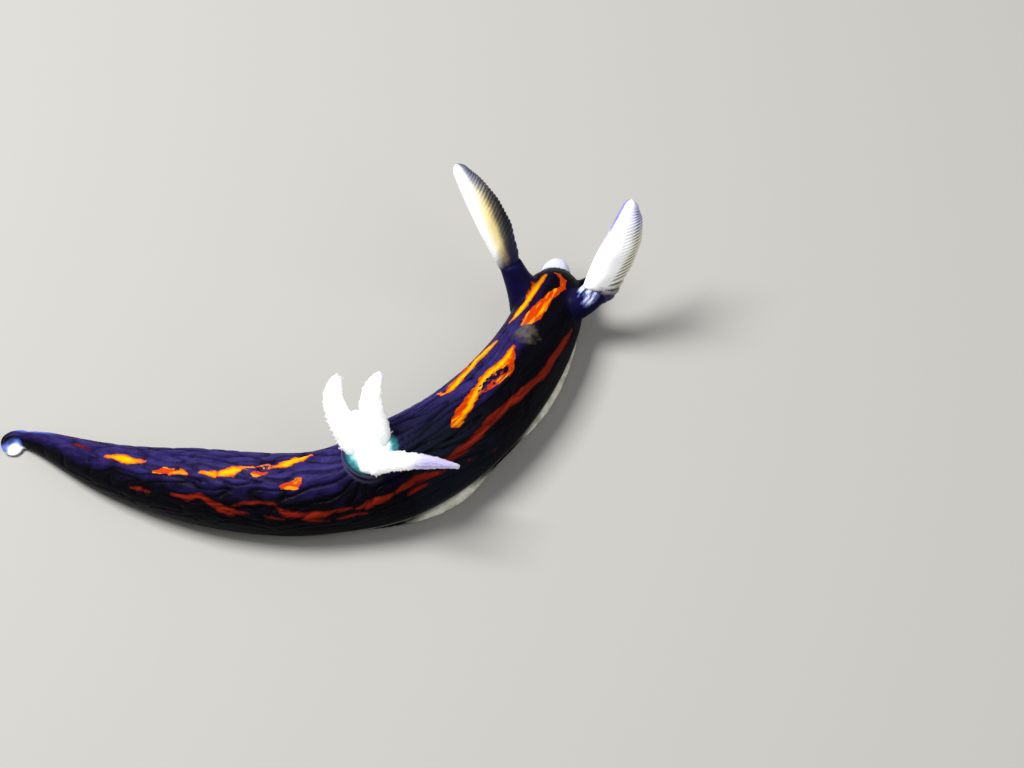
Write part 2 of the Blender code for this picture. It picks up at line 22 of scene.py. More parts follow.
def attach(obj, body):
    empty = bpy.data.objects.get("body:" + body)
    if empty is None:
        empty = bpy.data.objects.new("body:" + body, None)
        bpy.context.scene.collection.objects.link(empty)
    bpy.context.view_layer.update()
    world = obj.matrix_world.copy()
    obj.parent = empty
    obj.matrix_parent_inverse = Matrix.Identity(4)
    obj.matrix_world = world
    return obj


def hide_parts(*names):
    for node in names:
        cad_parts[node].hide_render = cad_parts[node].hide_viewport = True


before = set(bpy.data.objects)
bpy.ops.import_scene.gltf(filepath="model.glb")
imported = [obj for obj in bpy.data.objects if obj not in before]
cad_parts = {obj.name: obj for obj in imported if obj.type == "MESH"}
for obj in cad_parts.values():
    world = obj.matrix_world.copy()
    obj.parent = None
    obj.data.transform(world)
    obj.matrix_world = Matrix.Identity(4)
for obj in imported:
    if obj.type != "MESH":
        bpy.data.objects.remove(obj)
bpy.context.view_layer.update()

LOG = logging.getLogger("dorid")
METRES_PER_MM = 0.001
BODY = "root"
UP = Vector((0.0, 0.0, 1.0))
MIDDLE = Vector((0.0, 0.0, 0.0))
QUARTER = math.pi / 2.0
CHUNK = 4000  # points that are compared with a path at once

BMesh = bmesh.types.BMesh
Mesh = bpy.types.Mesh
Place = tuple[float, float, float]
Path = Callable[[float], Vector]
Reach = Callable[[float, float], tuple[float, float]]


# Small tools


def curve_through(stations: Iterable[float], values: Iterable[float], at: np.ndarray | float) -> np.ndarray:
    """Smooth curve through the given values that adds no bumps between them.

    Args:
        stations: Places of the values, rising.
        values: The value at each place.
        at: Where the curve is read.

    Returns:
        The curve's value at each place in at.
    """
    x = np.array(tuple(stations))
    y = np.array(tuple(values))
    step = np.diff(x)
    slope = np.diff(y) / step
    tangent = np.zeros_like(y)
    tangent[0] = slope[0]
    tangent[-1] = slope[-1]
    for i in range(1, len(x) - 1):
        if slope[i - 1] * slope[i] > 0.0:
            before = 2.0 * step[i] + step[i - 1]
            after = step[i] + 2.0 * step[i - 1]
            tangent[i] = (before + after) / (before / slope[i - 1] + after / slope[i])
    at = np.clip(at, x[0], x[-1])
    i = np.clip(np.searchsorted(x, at, side="right") - 1, 0, len(x) - 2)
    t = (at - x[i]) / step[i]
    start = y[i] + t * t * (3.0 - 2.0 * t) * (y[i + 1] - y[i])
    leave = t * (1.0 - t) ** 2 * step[i] * tangent[i]
    arrive = t * t * (1.0 - t) * step[i] * tangent[i + 1]
    return start + leave - arrive


def smooth_step(low: float, high: float, value: np.ndarray | float) -> np.ndarray:
    """Share from 0 at low to 1 at high, eased at both ends.

    Args:
        low: Value at which the share is 0.
        high: Value at which the share is 1.
        value: What is read.

    Returns:
        The share for each value.
    """
    t = np.clip((np.asarray(value) - low) / (high - low), 0.0, 1.0)
    return t * t * (3.0 - 2.0 * t)


def linear(colour: str) -> tuple[float, float, float, float]:
    """Linear RGBA of an sRGB colour.

    Args:
        colour: Six hex digits.

    Returns:
        Red, green, blue and an alpha of 1.
    """
    parts = [int(colour[i : i + 2], 16) / 255.0 for i in (0, 2, 4)]
    turned = [c / 12.92 if c <= 0.04045 else ((c + 0.055) / 1.055) ** 2.4 for c in parts]
    return (*turned, 1.0)


def read_rows(items: bpy.types.bpy_prop_collection, key: str) -> np.ndarray:
    """Vectors of a mesh, such as the places or the normals of its vertices.

    Args:
        items: The mesh's collection.
        key: What is read of each item.

    Returns:
        Rows of three.
    """
    rows = np.empty(len(items) * 3, np.float32)
    items.foreach_get(key, rows)
    return rows.reshape(-1, 3).astype(float)


def write_points(mesh: Mesh, points: np.ndarray) -> None:
    """Set the vertex places of a mesh, in metres, from rows of three in millimetres."""
    mesh.vertices.foreach_set("co", (points * METRES_PER_MM).astype(np.float32).ravel())
    mesh.update()


def keep(mesh: Mesh, name: str, values: Iterable) -> None:
    """Store a number or a vector at each vertex for the materials to read.

    Args:
        mesh: The mesh.
        name: The attribute's name.
        values: A number or a row of three for each vertex.
    """
    values = np.asarray(values, np.float32)
    kind, key = ("FLOAT", "value") if values.ndim == 1 else ("FLOAT_VECTOR", "vector")
    mesh.attributes.new(name, kind, "POINT").data.foreach_set(key, values.ravel())


def bent_path(root: Vector, middle: Vector, tip: Vector) -> Path:
    """Smooth path from a root through a middle point to a tip.

    Args:
        root: Where the path starts.
        middle: What it passes half way.
        tip: Where it ends.

    Returns:
        A function from a share of the path to a point.
    """
    bend = middle * 2.0 - (root + tip) * 0.5

    def path(share: float) -> Vector:
        """Point at a share of the path."""
        return root * (1.0 - share) ** 2 + bend * 2.0 * share * (1.0 - share) + tip * share**2

    return path


def face_outwards(bm: BMesh) -> None:
    """Turn every face of a closed shape outwards.

    Args:
        bm: The shape.
    """
    bmesh.ops.recalc_face_normals(bm, faces=bm.faces[:])
    if bm.calc_volume(signed=True) < 0.0:
        bmesh.ops.reverse_faces(bm, faces=bm.faces[:])


def mesh_of(bm: BMesh, name: str) -> Mesh:
    """Mesh of a shape.

    Args:
        bm: The shape, which is used up.
        name: The mesh's name.

    Returns:
        The mesh.
    """
    mesh = bpy.data.meshes.new(name)
    bm.to_mesh(mesh)
    bm.free()
    return mesh


def join(whole: BMesh, bm: BMesh) -> BMesh:
    """Add a shape to others.

    Args:
        whole: What the shape is added to, after the vertices that it has.
        bm: The shape, which is used up.

    Returns:
        The whole.
    """
    part = mesh_of(bm, "part")
    whole.from_mesh(part)
    bpy.data.meshes.remove(part)
    return whole


def ball(segments: int, rings: int, size: Place, centre: Place) -> BMesh:
    """Ellipsoid whose poles are on Z.

    Args:
        segments: Vertices round each ring.
        rings: Steps from pole to pole.
        size: Half its length, width and height.
        centre: Its middle.

    Returns:
        The ellipsoid.
    """
    bm = bmesh.new()
    bmesh.ops.create_uvsphere(bm, u_segments=segments, v_segments=rings, radius=1.0)
    bmesh.ops.scale(bm, vec=size, verts=bm.verts[:])
    bmesh.ops.translate(bm, vec=centre, verts=bm.verts[:])
    return bm


def swept(segments: int, rings: int, place: Callable[[int, float], Vector]) -> BMesh:
    """Closed form whose rings are those of a sphere, moved.

    Args:
        segments: Vertices round each ring.
        rings: Steps from pole to pole.
        place: Point of the vertex on a ring, counted from 0, at an angle round it.

    Returns:
        The form, with its faces outwards.
    """
    bm = bmesh.new()
    bmesh.ops.create_uvsphere(bm, u_segments=segments, v_segments=rings, radius=1.0)
    for vert in bm.verts:
        ring = round(math.acos(min(max(vert.co.z, -1.0), 1.0)) / math.pi * rings)
        vert.co = place(ring, math.atan2(vert.co.y, vert.co.x))
    face_outwards(bm)
    return bm


def limb(
    path: Path, reach: Reach, rings: int, segments: int, tip_rings: int, tip_cap: float, rear: Vector,
    tags: dict[str, list[float]] | None = None,
) -> BMesh:
    """Closed limb along a path, flat at its root and rounded at its tip.

    Args:
        path: Point of the axis for a share of its length.
        reach: Distance from the axis and rise along it, for a share and an angle.
        rings: Rings from root to tip.
        segments: Vertices round each ring.
        tip_rings: Rings that round the tip off.
        tip_cap: Share of the path that the round tip takes.
        rear: Direction that the angle is measured from.
        tags: Lists that take each vertex's share and angle, under "share" and "angle".

    Returns:
        The limb, in a bmesh where vertices that are added later come last.
    """
    step = 0.01
    straight = rings - tip_rings

    def place(ring: int, angle: float) -> Vector:
        """Point of the limb.

        Args:
            ring: Its ring, from 0 at the root.
            angle: Its angle round the axis.

        Returns:
            The point.
        """
        share, size = 0.0, 0.0
        if ring > straight:
            turn = QUARTER * (ring - straight) / tip_rings
            share = 1.0 - tip_cap * (1.0 - math.sin(turn))
            size = math.cos(turn)
        elif ring > 0:
            share = (1.0 - tip_cap) * (ring - 1) / (straight - 1)
            size = 1.0
        along = (path(min(share + step, 1.0)) - path(max(share - step, 0.0))).normalized()
        back = (rear - along * rear.dot(along)).normalized()
        side = along.cross(back)
        distance, rise = reach(share, angle)
        out = back * math.cos(angle) + side * math.sin(angle)
        if tags is not None:
            tags["share"].append(share)
            tags["angle"].append(angle)
        return path(share) + out * distance * size + along * rise * size

    return join(bmesh.new(), swept(segments, rings, place))


def fuse(bm: BMesh, voxel: float, smoothing: int) -> Mesh:
    """One closed surface round shapes that overlap.

    Args:
        bm: The shapes, which are used up.
        voxel: Size of the surface's cells in millimetres.
        smoothing: Rounds of smoothing afterwards.

    Returns:
        The surface's mesh, with smooth shading.
    """
    mesh = mesh_of(bm, "shapes")
    obj = object_of(mesh, "shapes")
    remesh = obj.modifiers.new("fuse", "REMESH")
    remesh.mode = "VOXEL"
    remesh.voxel_size = voxel
    bpy.context.view_layer.update()
    fused = bpy.data.meshes.new_from_object(obj.evaluated_get(bpy.context.evaluated_depsgraph_get()))
    bpy.data.objects.remove(obj)
    bpy.data.meshes.remove(mesh)
    smooth = bmesh.new()
    smooth.from_mesh(fused)
    for _ in range(smoothing):
        bmesh.ops.smooth_vert(
            smooth, verts=smooth.verts[:], factor=0.5, use_axis_x=True, use_axis_y=True, use_axis_z=True
        )
    face_outwards(smooth)
    smooth.to_mesh(fused)
    smooth.free()
    fused.shade_smooth()
    return fused


def nearest_on(points: np.ndarray, samples: np.ndarray) -> tuple[np.ndarray, np.ndarray]:
    """Nearest sample of a path to each point.

    Args:
        points: Rows of two or three numbers.
        samples: The path's points, the same way.

    Returns:
        The number of the nearest sample and its distance, for each point.
    """
    index = np.empty(len(points), int)
    distance = np.empty(len(points))
    for start in range(0, len(points), CHUNK):
        part = points[start : start + CHUNK]
        squares = ((part[:, None, :] - samples[None, :, :]) ** 2).sum(-1)
        nearest = squares.argmin(1)
        index[start : start + CHUNK] = nearest
        distance[start : start + CHUNK] = np.sqrt(squares[np.arange(len(part)), nearest])
    return index, distance


def object_of(mesh: Mesh, name: str) -> bpy.types.Object:
    """Scene object at the origin.

    Args:
        mesh: Its mesh.
        name: Its name.

    Returns:
        The object.
    """
    obj = bpy.data.objects.new(name, mesh)
    bpy.context.scene.collection.objects.link(obj)
    return obj


def show(mesh: Mesh, name: str, nodes: Iterable[str], finish: bpy.types.Material) -> None:
    """Make a piece of a mesh, dress it, let it ride on the body and stand for its nodes.

    Args:
        mesh: The piece's mesh in metres.
        name: The piece's name.
        nodes: Names of the solids that it stands for.
        finish: Its material.
    """
    mesh.materials.clear()
    mesh.materials.append(finish)
    obj = object_of(mesh, name)
    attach(obj, BODY)
    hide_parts(*nodes)
    LOG.info("%s: %d faces", name, len(mesh.polygons))


# The body's form, the same as the solids'


@dataclass
class BodyForm:
    """Middle line and sections of the body, as driving dimensions in millimetres."""

    length: float = 28.0
    gill: float = 0.575
    heading_stations: tuple[float, ...] = (0.0, 0.10, 0.25, 0.40, 0.55, 0.70, 0.85, 1.0)
    heading_degrees: tuple[float, ...] = (-28.0, -50.0, -39.0, -29.5, -5.0, 25.5, 45.5, 67.5)
    width_stations: tuple[float, ...] = (0.0, 0.035, 0.10, 0.20, 0.35, 0.50, 0.60, 0.75, 0.90, 0.97, 1.0)
    widths: tuple[float, ...] = (0.20, 0.60, 1.18, 1.95, 2.85, 3.05, 3.60, 3.25, 2.70, 2.42, 2.25)
    height_per_width: float = 0.95
    middle_level: float = 0.42
    upper_reach: float = 0.58
    lower_reach: float = 0.55
    tail_cap: float = 0.004
    head_cap: float = 0.950
    spine_steps: int = 560

    def __post_init__(self) -> None:
        """Trace the middle line from the headings."""
        self.stations = np.linspace(0.0, 1.0, self.spine_steps + 1)
        self.heading = np.radians(curve_through(self.heading_stations, self.heading_degrees, self.stations))
        middle = (self.heading[1:] + self.heading[:-1]) / 2.0
        step = self.length / self.spine_steps
        x = np.concatenate(([0.0], np.cumsum(step * np.cos(middle))))
        y = np.concatenate(([0.0], np.cumsum(step * np.sin(middle))))
        x -= np.interp(self.gill, self.stations, x)
        y -= np.interp(self.gill, self.stations, y)
        self.line = np.stack([x, y], -1)

    def frame_at(self, station: float) -> tuple[Vector, Vector, Vector]:
        """Floor under the middle line, which runs on straight past the ends.

        Args:
            station: Where on the body.

        Returns:
            Floor point, forward and left directions.
        """
        inside = min(max(station, 0.0), 1.0)
        turn = float(np.interp(inside, self.stations, self.heading))
        forward = Vector((math.cos(turn), math.sin(turn), 0.0))
        left = Vector((-math.sin(turn), math.cos(turn), 0.0))
        x, y = (float(np.interp(inside, self.stations, self.line[:, i])) for i in (0, 1))
        return Vector((x, y, 0.0)) + forward * (station - inside) * self.length, forward, left

    def half_width(self, station: np.ndarray | float) -> np.ndarray:
        """Half the width at stations, before the ends are rounded."""
        return curve_through(self.width_stations, self.widths, station) / 2.0

    def back_level(self, station: np.ndarray | float) -> np.ndarray:
        """Height of the back at stations."""
        return 2.0 * self.half_width(station) * self.height_per_width

    def end_size(self, station: float) -> float:
        """Roundness of the body's ends.

        Args:
            station: Where on the body.

        Returns:
            Share of the full section that is left there.
        """
        if station < self.tail_cap:
            return math.sqrt(max(0.0, 1.0 - (1.0 - station / self.tail_cap) ** 2))
        if station > self.head_cap:
            return math.sqrt(max(0.0, 1.0 - ((station - self.head_cap) / (1.0 - self.head_cap)) ** 2))
        return 1.0

    def skin_point(self, station: float, angle: float) -> Vector:
        """Point of the smooth body.

        Args:
            station: Where on the body.
            angle: Angle from the middle of the back.

        Returns:
            The point, never under the floor.
        """
        point, _, left = self.frame_at(station)
        size = self.end_size(station)
        reach = self.upper_reach if math.cos(angle) > 0.0 else self.lower_reach
        side = -float(self.half_width(station)) * size * math.sin(angle)
        height = float(self.back_level(station)) * (self.middle_level + reach * size * math.cos(angle))
        return point + left * side + UP * max(height, 0.0)

    def locate(self, points: np.ndarray) -> tuple[np.ndarray, np.ndarray, np.ndarray]:
        """Where points lie on the body.

        Args:
            points: Rows of x, y and z.

        Returns:
            Station, offset to the left, and angle from the back in radians.
        """
        index, _ = nearest_on(points[:, :2], self.line)
        turn = self.heading[index]
        away = points[:, :2] - self.line[index]
        ahead = away[:, 0] * np.cos(turn) + away[:, 1] * np.sin(turn)
        left = -away[:, 0] * np.sin(turn) + away[:, 1] * np.cos(turn)
        station = self.stations[index] + ahead / self.length
        level = self.back_level(station)
        up = (points[:, 2] / level - self.middle_level) / self.upper_reach
        return station, left, np.arctan2(-left / self.half_width(station), up)

    def outside(self, station: np.ndarray, left: np.ndarray, height: np.ndarray) -> np.ndarray:
        """How far points stand out from the body's own form.

        Args:
            station: Station of each point.
            left: Its offset to the left.
            height: Its height.

        Returns:
            Distances in millimetres, negative inside.
        """
        half = self.half_width(station)
        up = (height / self.back_level(station) - self.middle_level) / self.upper_reach
        ahead = np.clip((station - self.head_cap) / (1.0 - self.head_cap), 0.0, 1.0)
        return (np.hypot(left / half, up) - np.sqrt(1.0 - ahead**2)) * half

    def place_mm(self, station: np.ndarray, angle: np.ndarray) -> tuple[np.ndarray, np.ndarray]:
        """Distances along the body and round it, in millimetres, for stations and angles."""
        radius = (self.half_width(station) + self.back_level(station) * self.upper_reach) / 2.0
        return station * self.length, angle * radius


# Markings


class Paint(Enum):
    """Kinds of marking on the skin."""

    GOLD = "gold_edge"
    FLAME = "flame_edge"
    EMBER = "ember_edge"
    INK = "ink_edge"
    PALE = "pale_edge"


@dataclass(frozen=True)
class Marking:
    """A stroke of colour: its kind, and for each point its station, angle in degrees and half width."""

    paint: Paint
    points: tuple[tuple[float, float, float], ...]


MARKINGS = (
    # Stripe left of the middle line, broken behind the gill
    Marking(Paint.GOLD, (
        (0.960, -9, 0.13), (0.927, -19, 0.14), (0.894, -27, 0.18), (0.878, -30, 0.13), (0.865, -35, 0.07),
    )),
    Marking(Paint.GOLD, (
        (0.824, -31, 0.06), (0.809, -34, 0.16), (0.779, -38, 0.20), (0.744, -30, 0.19), (0.715, -23, 0.16),
        (0.703, -24, 0.11), (0.697, -32, 0.06),
    )),
    Marking(Paint.FLAME, ((0.805, -38, 0.12), (0.779, -43, 0.14), (0.744, -34, 0.14), (0.712, -27, 0.10))),
    Marking(Paint.GOLD, ((0.487, -28, 0.12), (0.476, -21, 0.17))),
    Marking(Paint.GOLD, ((0.471, -21, 0.20), (0.456, -11, 0.19), (0.439, -7, 0.05))),
    Marking(Paint.GOLD, (
        (0.431, -7, 0.15), (0.416, -4, 0.08), (0.399, -2, 0.08), (0.386, 5, 0.22), (0.370, 11, 0.15),
    )),
    Marking(Paint.INK, ((0.433, -3, 0.05), (0.420, -2, 0.08), (0.402, 0, 0.04))),
    Marking(Paint.GOLD, ((0.362, 12, 0.15), (0.342, 12, 0.06))),
    Marking(Paint.GOLD, ((0.325, 17, 0.04), (0.313, 15, 0.12), (0.299, 21, 0.06))),
    Marking(Paint.FLAME, ((0.302, 16, 0.11), (0.290, 16, 0.14), (0.275, 21, 0.06))),
    Marking(Paint.FLAME, ((0.431, 5, 0.07), (0.416, 7, 0.12))),
    Marking(Paint.GOLD, (
        (0.257, 3, 0.05), (0.239, 6, 0.12), (0.222, 4, 0.20), (0.204, 2, 0.11), (0.190, 8, 0.04),
    )),
    Marking(Paint.EMBER, ((0.165, -3, 0.04), (0.148, -6, 0.07), (0.124, -7, 0.05))),
    # Stripe right of the middle line
    Marking(Paint.FLAME, ((0.968, 8, 0.04), (0.965, 16, 0.07), (0.956, 26, 0.13), (0.948, 27, 0.12))),
    Marking(Paint.FLAME, (
        (0.944, 31, 0.06), (0.932, 18, 0.15), (0.918, 10, 0.17), (0.898, 4, 0.26), (0.884, 1, 0.33),
        (0.872, -3, 0.24), (0.861, -8, 0.06),
    )),
    Marking(Paint.GOLD, ((0.920, 16, 0.05), (0.906, 10, 0.10), (0.893, 9, 0.11), (0.880, 6, 0.06))),
    Marking(Paint.FLAME, (
        (0.827, -2, 0.03), (0.815, 4, 0.08), (0.801, 8, 0.21), (0.785, 12, 0.34), (0.769, 10, 0.37),
        (0.754, 9, 0.33), (0.738, 8, 0.22), (0.726, 8, 0.17), (0.710, 11, 0.18), (0.695, 15, 0.17),
        (0.685, 19, 0.17), (0.676, 22, 0.08),
    )),
    Marking(Paint.GOLD, (
        (0.822, 0, 0.03), (0.803, 5, 0.14), (0.785, 5, 0.16), (0.769, 2, 0.16), (0.754, 2, 0.16),
        (0.738, 7, 0.17), (0.726, 10, 0.14), (0.710, 16, 0.14), (0.695, 21, 0.12), (0.682, 25, 0.13),
        (0.674, 24, 0.07),
    )),
    Marking(Paint.INK, (
        (0.788, 15, 0.08), (0.772, 12, 0.12), (0.757, 10, 0.15), (0.746, 10, 0.12), (0.734, 12, 0.04),
    )),
    Marking(Paint.FLAME, ((0.474, 18, 0.13), (0.470, 23, 0.18), (0.454, 24, 0.11))),
    Marking(Paint.GOLD, ((0.476, 15, 0.05), (0.470, 20, 0.10))),
)

# Stripes low on the right side, which the left side has as well
SIDE_MARKINGS = (
    ((0.897, 70, 0.07), (0.881, 67, 0.14), (0.849, 61, 0.18), (0.817, 60, 0.18), (0.798, 56, 0.15),
     (0.779, 52, 0.16), (0.764, 51, 0.19), (0.748, 48, 0.15), (0.715, 46, 0.17), (0.689, 52, 0.16),
     (0.664, 53, 0.18), (0.643, 54, 0.07)),
    ((0.641, 63, 0.04), (0.619, 58, 0.16), (0.608, 56, 0.18), (0.596, 59, 0.16), (0.584, 61, 0.10)),
    ((0.619, 66, 0.05), (0.607, 67, 0.13), (0.596, 69, 0.09)),
    ((0.273, 57, 0.05), (0.257, 55, 0.11), (0.241, 58, 0.05)),
    ((0.306, 51, 0.05), (0.330, 53, 0.14), (0.346, 46, 0.12), (0.358, 53, 0.14), (0.375, 60, 0.19),
     (0.386, 65, 0.16), (0.414, 64, 0.03)),
    ((0.388, 57, 0.04), (0.405, 49, 0.08), (0.424, 47, 0.09), (0.448, 48, 0.05)),
    ((0.446, 54, 0.07), (0.457, 62, 0.16), (0.471, 65, 0.13), (0.485, 68, 0.16), (0.518, 65, 0.11),
     (0.532, 65, 0.05)),
    ((0.537, 67, 0.07), (0.549, 66, 0.18), (0.562, 65, 0.18), (0.573, 64, 0.15), (0.580, 62, 0.05)),
    ((0.429, 66, 0.05), (0.441, 68, 0.08), (0.452, 71, 0.04)),
    ((0.472, 70, 0.05), (0.485, 74, 0.07), (0.504, 80, 0.04)),
    ((0.513, 77, 0.05), (0.530, 76, 0.11), (0.547, 76, 0.04)),
    ((0.710, 82, 0.04), (0.703, 81, 0.04)),
    ((0.671, 69, 0.06), (0.668, 67, 0.04)),
)
# The unseen left side has the same stripes, a little further ahead and lower
LEFT_SIDE_SHIFT = 0.012
LEFT_SIDE_TURN = -13.0
PALE_SPOT = Marking(Paint.PALE, ((0.853, 1, 0.16), (0.848, 6, 0.22)))
FAR = 0.6  # the greatest distance to an edge that is kept


def all_markings() -> list[Marking]:
    """Every stroke, with the side stripes on both sides.

    Returns:
        The strokes.
    """
    sides = [Marking(Paint.EMBER, points) for points in SIDE_MARKINGS]
    for points in SIDE_MARKINGS:
        moved = tuple((u + LEFT_SIDE_SHIFT, LEFT_SIDE_TURN - turn, half) for u, turn, half in points)
        sides.append(Marking(Paint.EMBER, moved))
    return [*MARKINGS, *sides, PALE_SPOT]


def edge_distance(form: BodyForm, paint: Paint, station: np.ndarray, angle: np.ndarray) -> np.ndarray:
    """Distance in millimetres to the nearest edge of a kind of marking, negative inside it.

    Args:
        form: The body that the markings lie on.
        paint: Kind of marking.
        station: Station of each point.
        angle: Angle of each point in radians.

    Returns:
        The distance for each point, at most FAR.
    """
    along, around = form.place_mm(station, angle)
    found = np.full(len(along), FAR)
    for marking in all_markings():
        if marking.paint is not paint:
            continue
        points = np.array(marking.points)
        x, y = form.place_mm(points[:, 0], np.radians(points[:, 1]))
        half = points[:, 2]
        for i in range(len(points) - 1):
            dx, dy = x[i + 1] - x[i], y[i + 1] - y[i]
            t = np.clip(((along - x[i]) * dx + (around - y[i]) * dy) / (dx * dx + dy * dy), 0.0, 1.0)
            away = np.hypot(along - x[i] - t * dx, around - y[i] - t * dy)
            found = np.minimum(found, away - half[i] - t * (half[i + 1] - half[i]))
    return found


# Materials

MULTIPLY = {"operation": "MULTIPLY"}
MULTIPLY_ADD = {"operation": "MULTIPLY_ADD"}
EASED = {"interpolation_type": "SMOOTHSTEP"}
COLOURS = {"data_type": "RGBA"}
MIXED = 2
TO_MM = (1.0 / METRES_PER_MM,) * 3
CLOUDY = {"Detail": 3.0, "Roughness": 0.6}

Socket = bpy.types.NodeSocket
Add = Callable[..., Socket]
Layer = tuple[Socket, Socket | str]


def add_node(
    tree: bpy.types.NodeTree, kind: str, out: int | str = 0, settings: dict | None = None, **inputs
) -> Socket | None:
    """Add a node with its settings and links.

    Args:
        tree: The material's node tree.
        kind: Node type without "ShaderNode".
        out: Name or number of the output that is given back.
        settings: Properties of the node; stops are a colour ramp's places and hex colours.
        inputs: Value, hex colour or linked socket for each input, by name, or by number as i0, i1 and so on.

    Returns:
        The output socket, or nothing from the output node.
    """
    node = tree.nodes.new("ShaderNode" + kind)
    for name, value in (settings or {}).items():
        if name == "stops":
            elements = node.color_ramp.elements
            elements.remove(elements[1])
            elements[0].position, elements[0].color = value[0][0], linear(value[0][1])
            for place, colour in value[1:]:
                elements.new(place).color = linear(colour)
        else:
            setattr(node, name, value)
    for name, value in inputs.items():
        numbered = name[0] == "i" and name[1:].isdigit()
        socket = node.inputs[int(name[1:])] if numbered else node.inputs[name.replace("_", " ")]
        if isinstance(value, bpy.types.NodeSocket):
            tree.links.new(value, socket)
        else:
            socket.default_value = linear(value) if isinstance(value, str) else value
    return node.outputs[out] if node.outputs else None


def start_finish(name: str) -> tuple[bpy.types.Material, Add]:
    """New material.

    Args:
        name: Its name.

    Returns:
        The material, with an empty tree, and add_node for that tree.
    """
    material = bpy.data.materials.new(name)
    material.use_nodes = True
    material.node_tree.nodes.clear()
    return material, partial(add_node, material.node_tree)


# Wet mollusc skin, soft flesh under a film of slime. It gives the eye a deep, almost matt indigo with a soft
# sheen and a painted highlight on the folds' ridges, painted shade that makes the flanks and creases near
# black, and opaque pigment stripes with ragged edges.
@dataclass(frozen=True)
class WetSkinFinish:
    """Indigo skin with gold, flame and ember stripes, pale parts, the gill's teal bed, and painted shade and
    highlights.
    """

    lit: str = "2B2458"
    indigo: str = "160F35"
    night: str = "07060B"
    stalk_blue: str = "121038"
    slate: str = "0F141E"
    gold_core: str = "D89A00"
    gold: str = "C86C00"
    gold_rim: str = "A02E04"
    flame: str = "A83104"
    flame_streak: str = "CC7C0A"
    ember_core: str = "6E1A0D"
    ember_rim: str = "380A07"
    foot_pale: str = "D8D6C8"
    foot_grey: str = "A6A48E"
    snout_pale: str = "D4D5EC"
    tail_pale: str = "EEF4FF"
    tail_blue: str = "566CC0"
    olive: str = "6C6450"
    gill_white: str = "FBFDFF"
    gill_cyan: str = "80B0B8"
    teal: str = "2C6E6E"
    deep_teal: str = "174E52"
    rim_grey: str = "43405A"
    highlight_blue: str = "7A88D5"

    SHARES = (
        "gold_edge", "flame_edge", "ember_edge", "ink_edge", "pale_edge", "foot", "snout", "tail_tip",
        "tail_blue", "tail_edge", "flank", "slate", "stalk", "glow", "pocket", "rim", "crease", "swell",
    )

    def material(self) -> bpy.types.Material:
        """Skin with lengthwise streaks, stripes, a pale foot margin, snout and tail tip.

        Returns:
            The material.
        """
        material, add = start_finish("wet_indigo_skin")
        share = {name: add("Attribute", "Fac", {"attribute_name": name}) for name in self.SHARES}
        surface = add("Attribute", "Vector", {"attribute_name": "skin_place"})
        solid = add("VectorMath", 0, MULTIPLY, i0=add("TexCoord", "Object"), i1=TO_MM)
        # Uneven pigment, in patches of about 0.6 mm
        mottle = add("TexNoise", "Fac", Vector=solid, Scale=1.6, **CLOUDY)
        colour = self.ground(add, share, surface, mottle)
        layers = (
            *self.shades(add, share), *self.stripes(add, share, surface),
            *self.pale_parts(add, share, solid, mottle),
        )
        for cover, paint in layers:
            colour = add("Mix", MIXED, COLOURS, i0=cover, i6=colour, i7=paint)
        # Pores and grains of mucus, about 0.07 mm
        pores = add("TexNoise", "Fac", Vector=solid, Scale=14.0, Detail=2.0, Roughness=0.6)
        normal = add("Bump", 0, Strength=0.5, Distance=0.012 * METRES_PER_MM, Height=pores)
        # Slime under water has almost the water's own index, so the skin hardly mirrors the light
        shader = add(
            "BsdfPrincipled", 0, Base_Color=colour, Roughness=0.38, IOR=1.08, Subsurface_Weight=0.04,
            Subsurface_Radius=(1.0, 0.6, 0.8), Subsurface_Scale=0.12 * METRES_PER_MM, Normal=normal,
        )
        add("OutputMaterial", Surface=shader)
        return material

    def ground(self, add: Add, share: dict[str, Socket], surface: Socket, mottle: Socket) -> Socket:
        """Indigo of the back, with painted shade that takes the flanks to near black and a painted highlight
        on the folds' ridges.

        Args:
            add: Adds a node.
            share: The skin's attributes.
            surface: Place on the skin in millimetres.
            mottle: Uneven pigment.

        Returns:
            The colour.
        """
        # Streaks of lighter pigment, about 0.4 mm wide and 2 mm long
        place = add("VectorMath", 0, MULTIPLY, i0=surface, i1=(0.5, 2.6, 1.0))
        streaks = add("TexNoise", "Fac", Vector=place, Scale=1.0, **CLOUDY)
        tone = add("Math", 0, MULTIPLY_ADD, i0=streaks, i1=0.9, i2=mottle)
        # Painted highlight: the folds' ridges are made lighter
        tone = add("Math", 0, MULTIPLY_ADD, i0=share["swell"], i1=0.45, i2=tone)
        # Painted shade: the flanks are pushed towards near black, the right one from nearer the back
        tone = add("Math", 0, {"operation": "SUBTRACT"}, i0=tone, i1=share["flank"])
        tone = add("MapRange", "Result", Value=tone, From_Min=-0.10, From_Max=1.45)
        stops = ((0.0, self.night), (0.30, self.night), (0.58, self.indigo), (0.95, self.lit))
        return add("ValToRGB", 0, {"stops": stops}, Fac=tone)

    def shades(self, add: Add, share: dict[str, Socket]) -> list[Layer]:
        """Slate in front of the gill, painted shade in the creases, and blue stalks.

        Args:
            add: Adds a node.
            share: The skin's attributes.

        Returns:
            Cover and colour of each layer, from the lowest up.
        """
        # The creases are darkened with painted shade
        shades = (("slate", 0.75, self.slate), ("crease", 0.9, self.night), ("stalk", 0.7, self.stalk_blue))
        return [(add("Math", 0, MULTIPLY, i0=share[name], i1=most), paint) for name, most, paint in shades]

    def stripes(self, add: Add, share: dict[str, Socket], surface: Socket) -> list[Layer]:
        """Stripes of opaque pigment.

        Args:
            add: Adds a node.
            share: The skin's attributes.
            surface: Place on the skin in millimetres.

        Returns:
            Cover and colour of each layer, from the lowest up.
        """
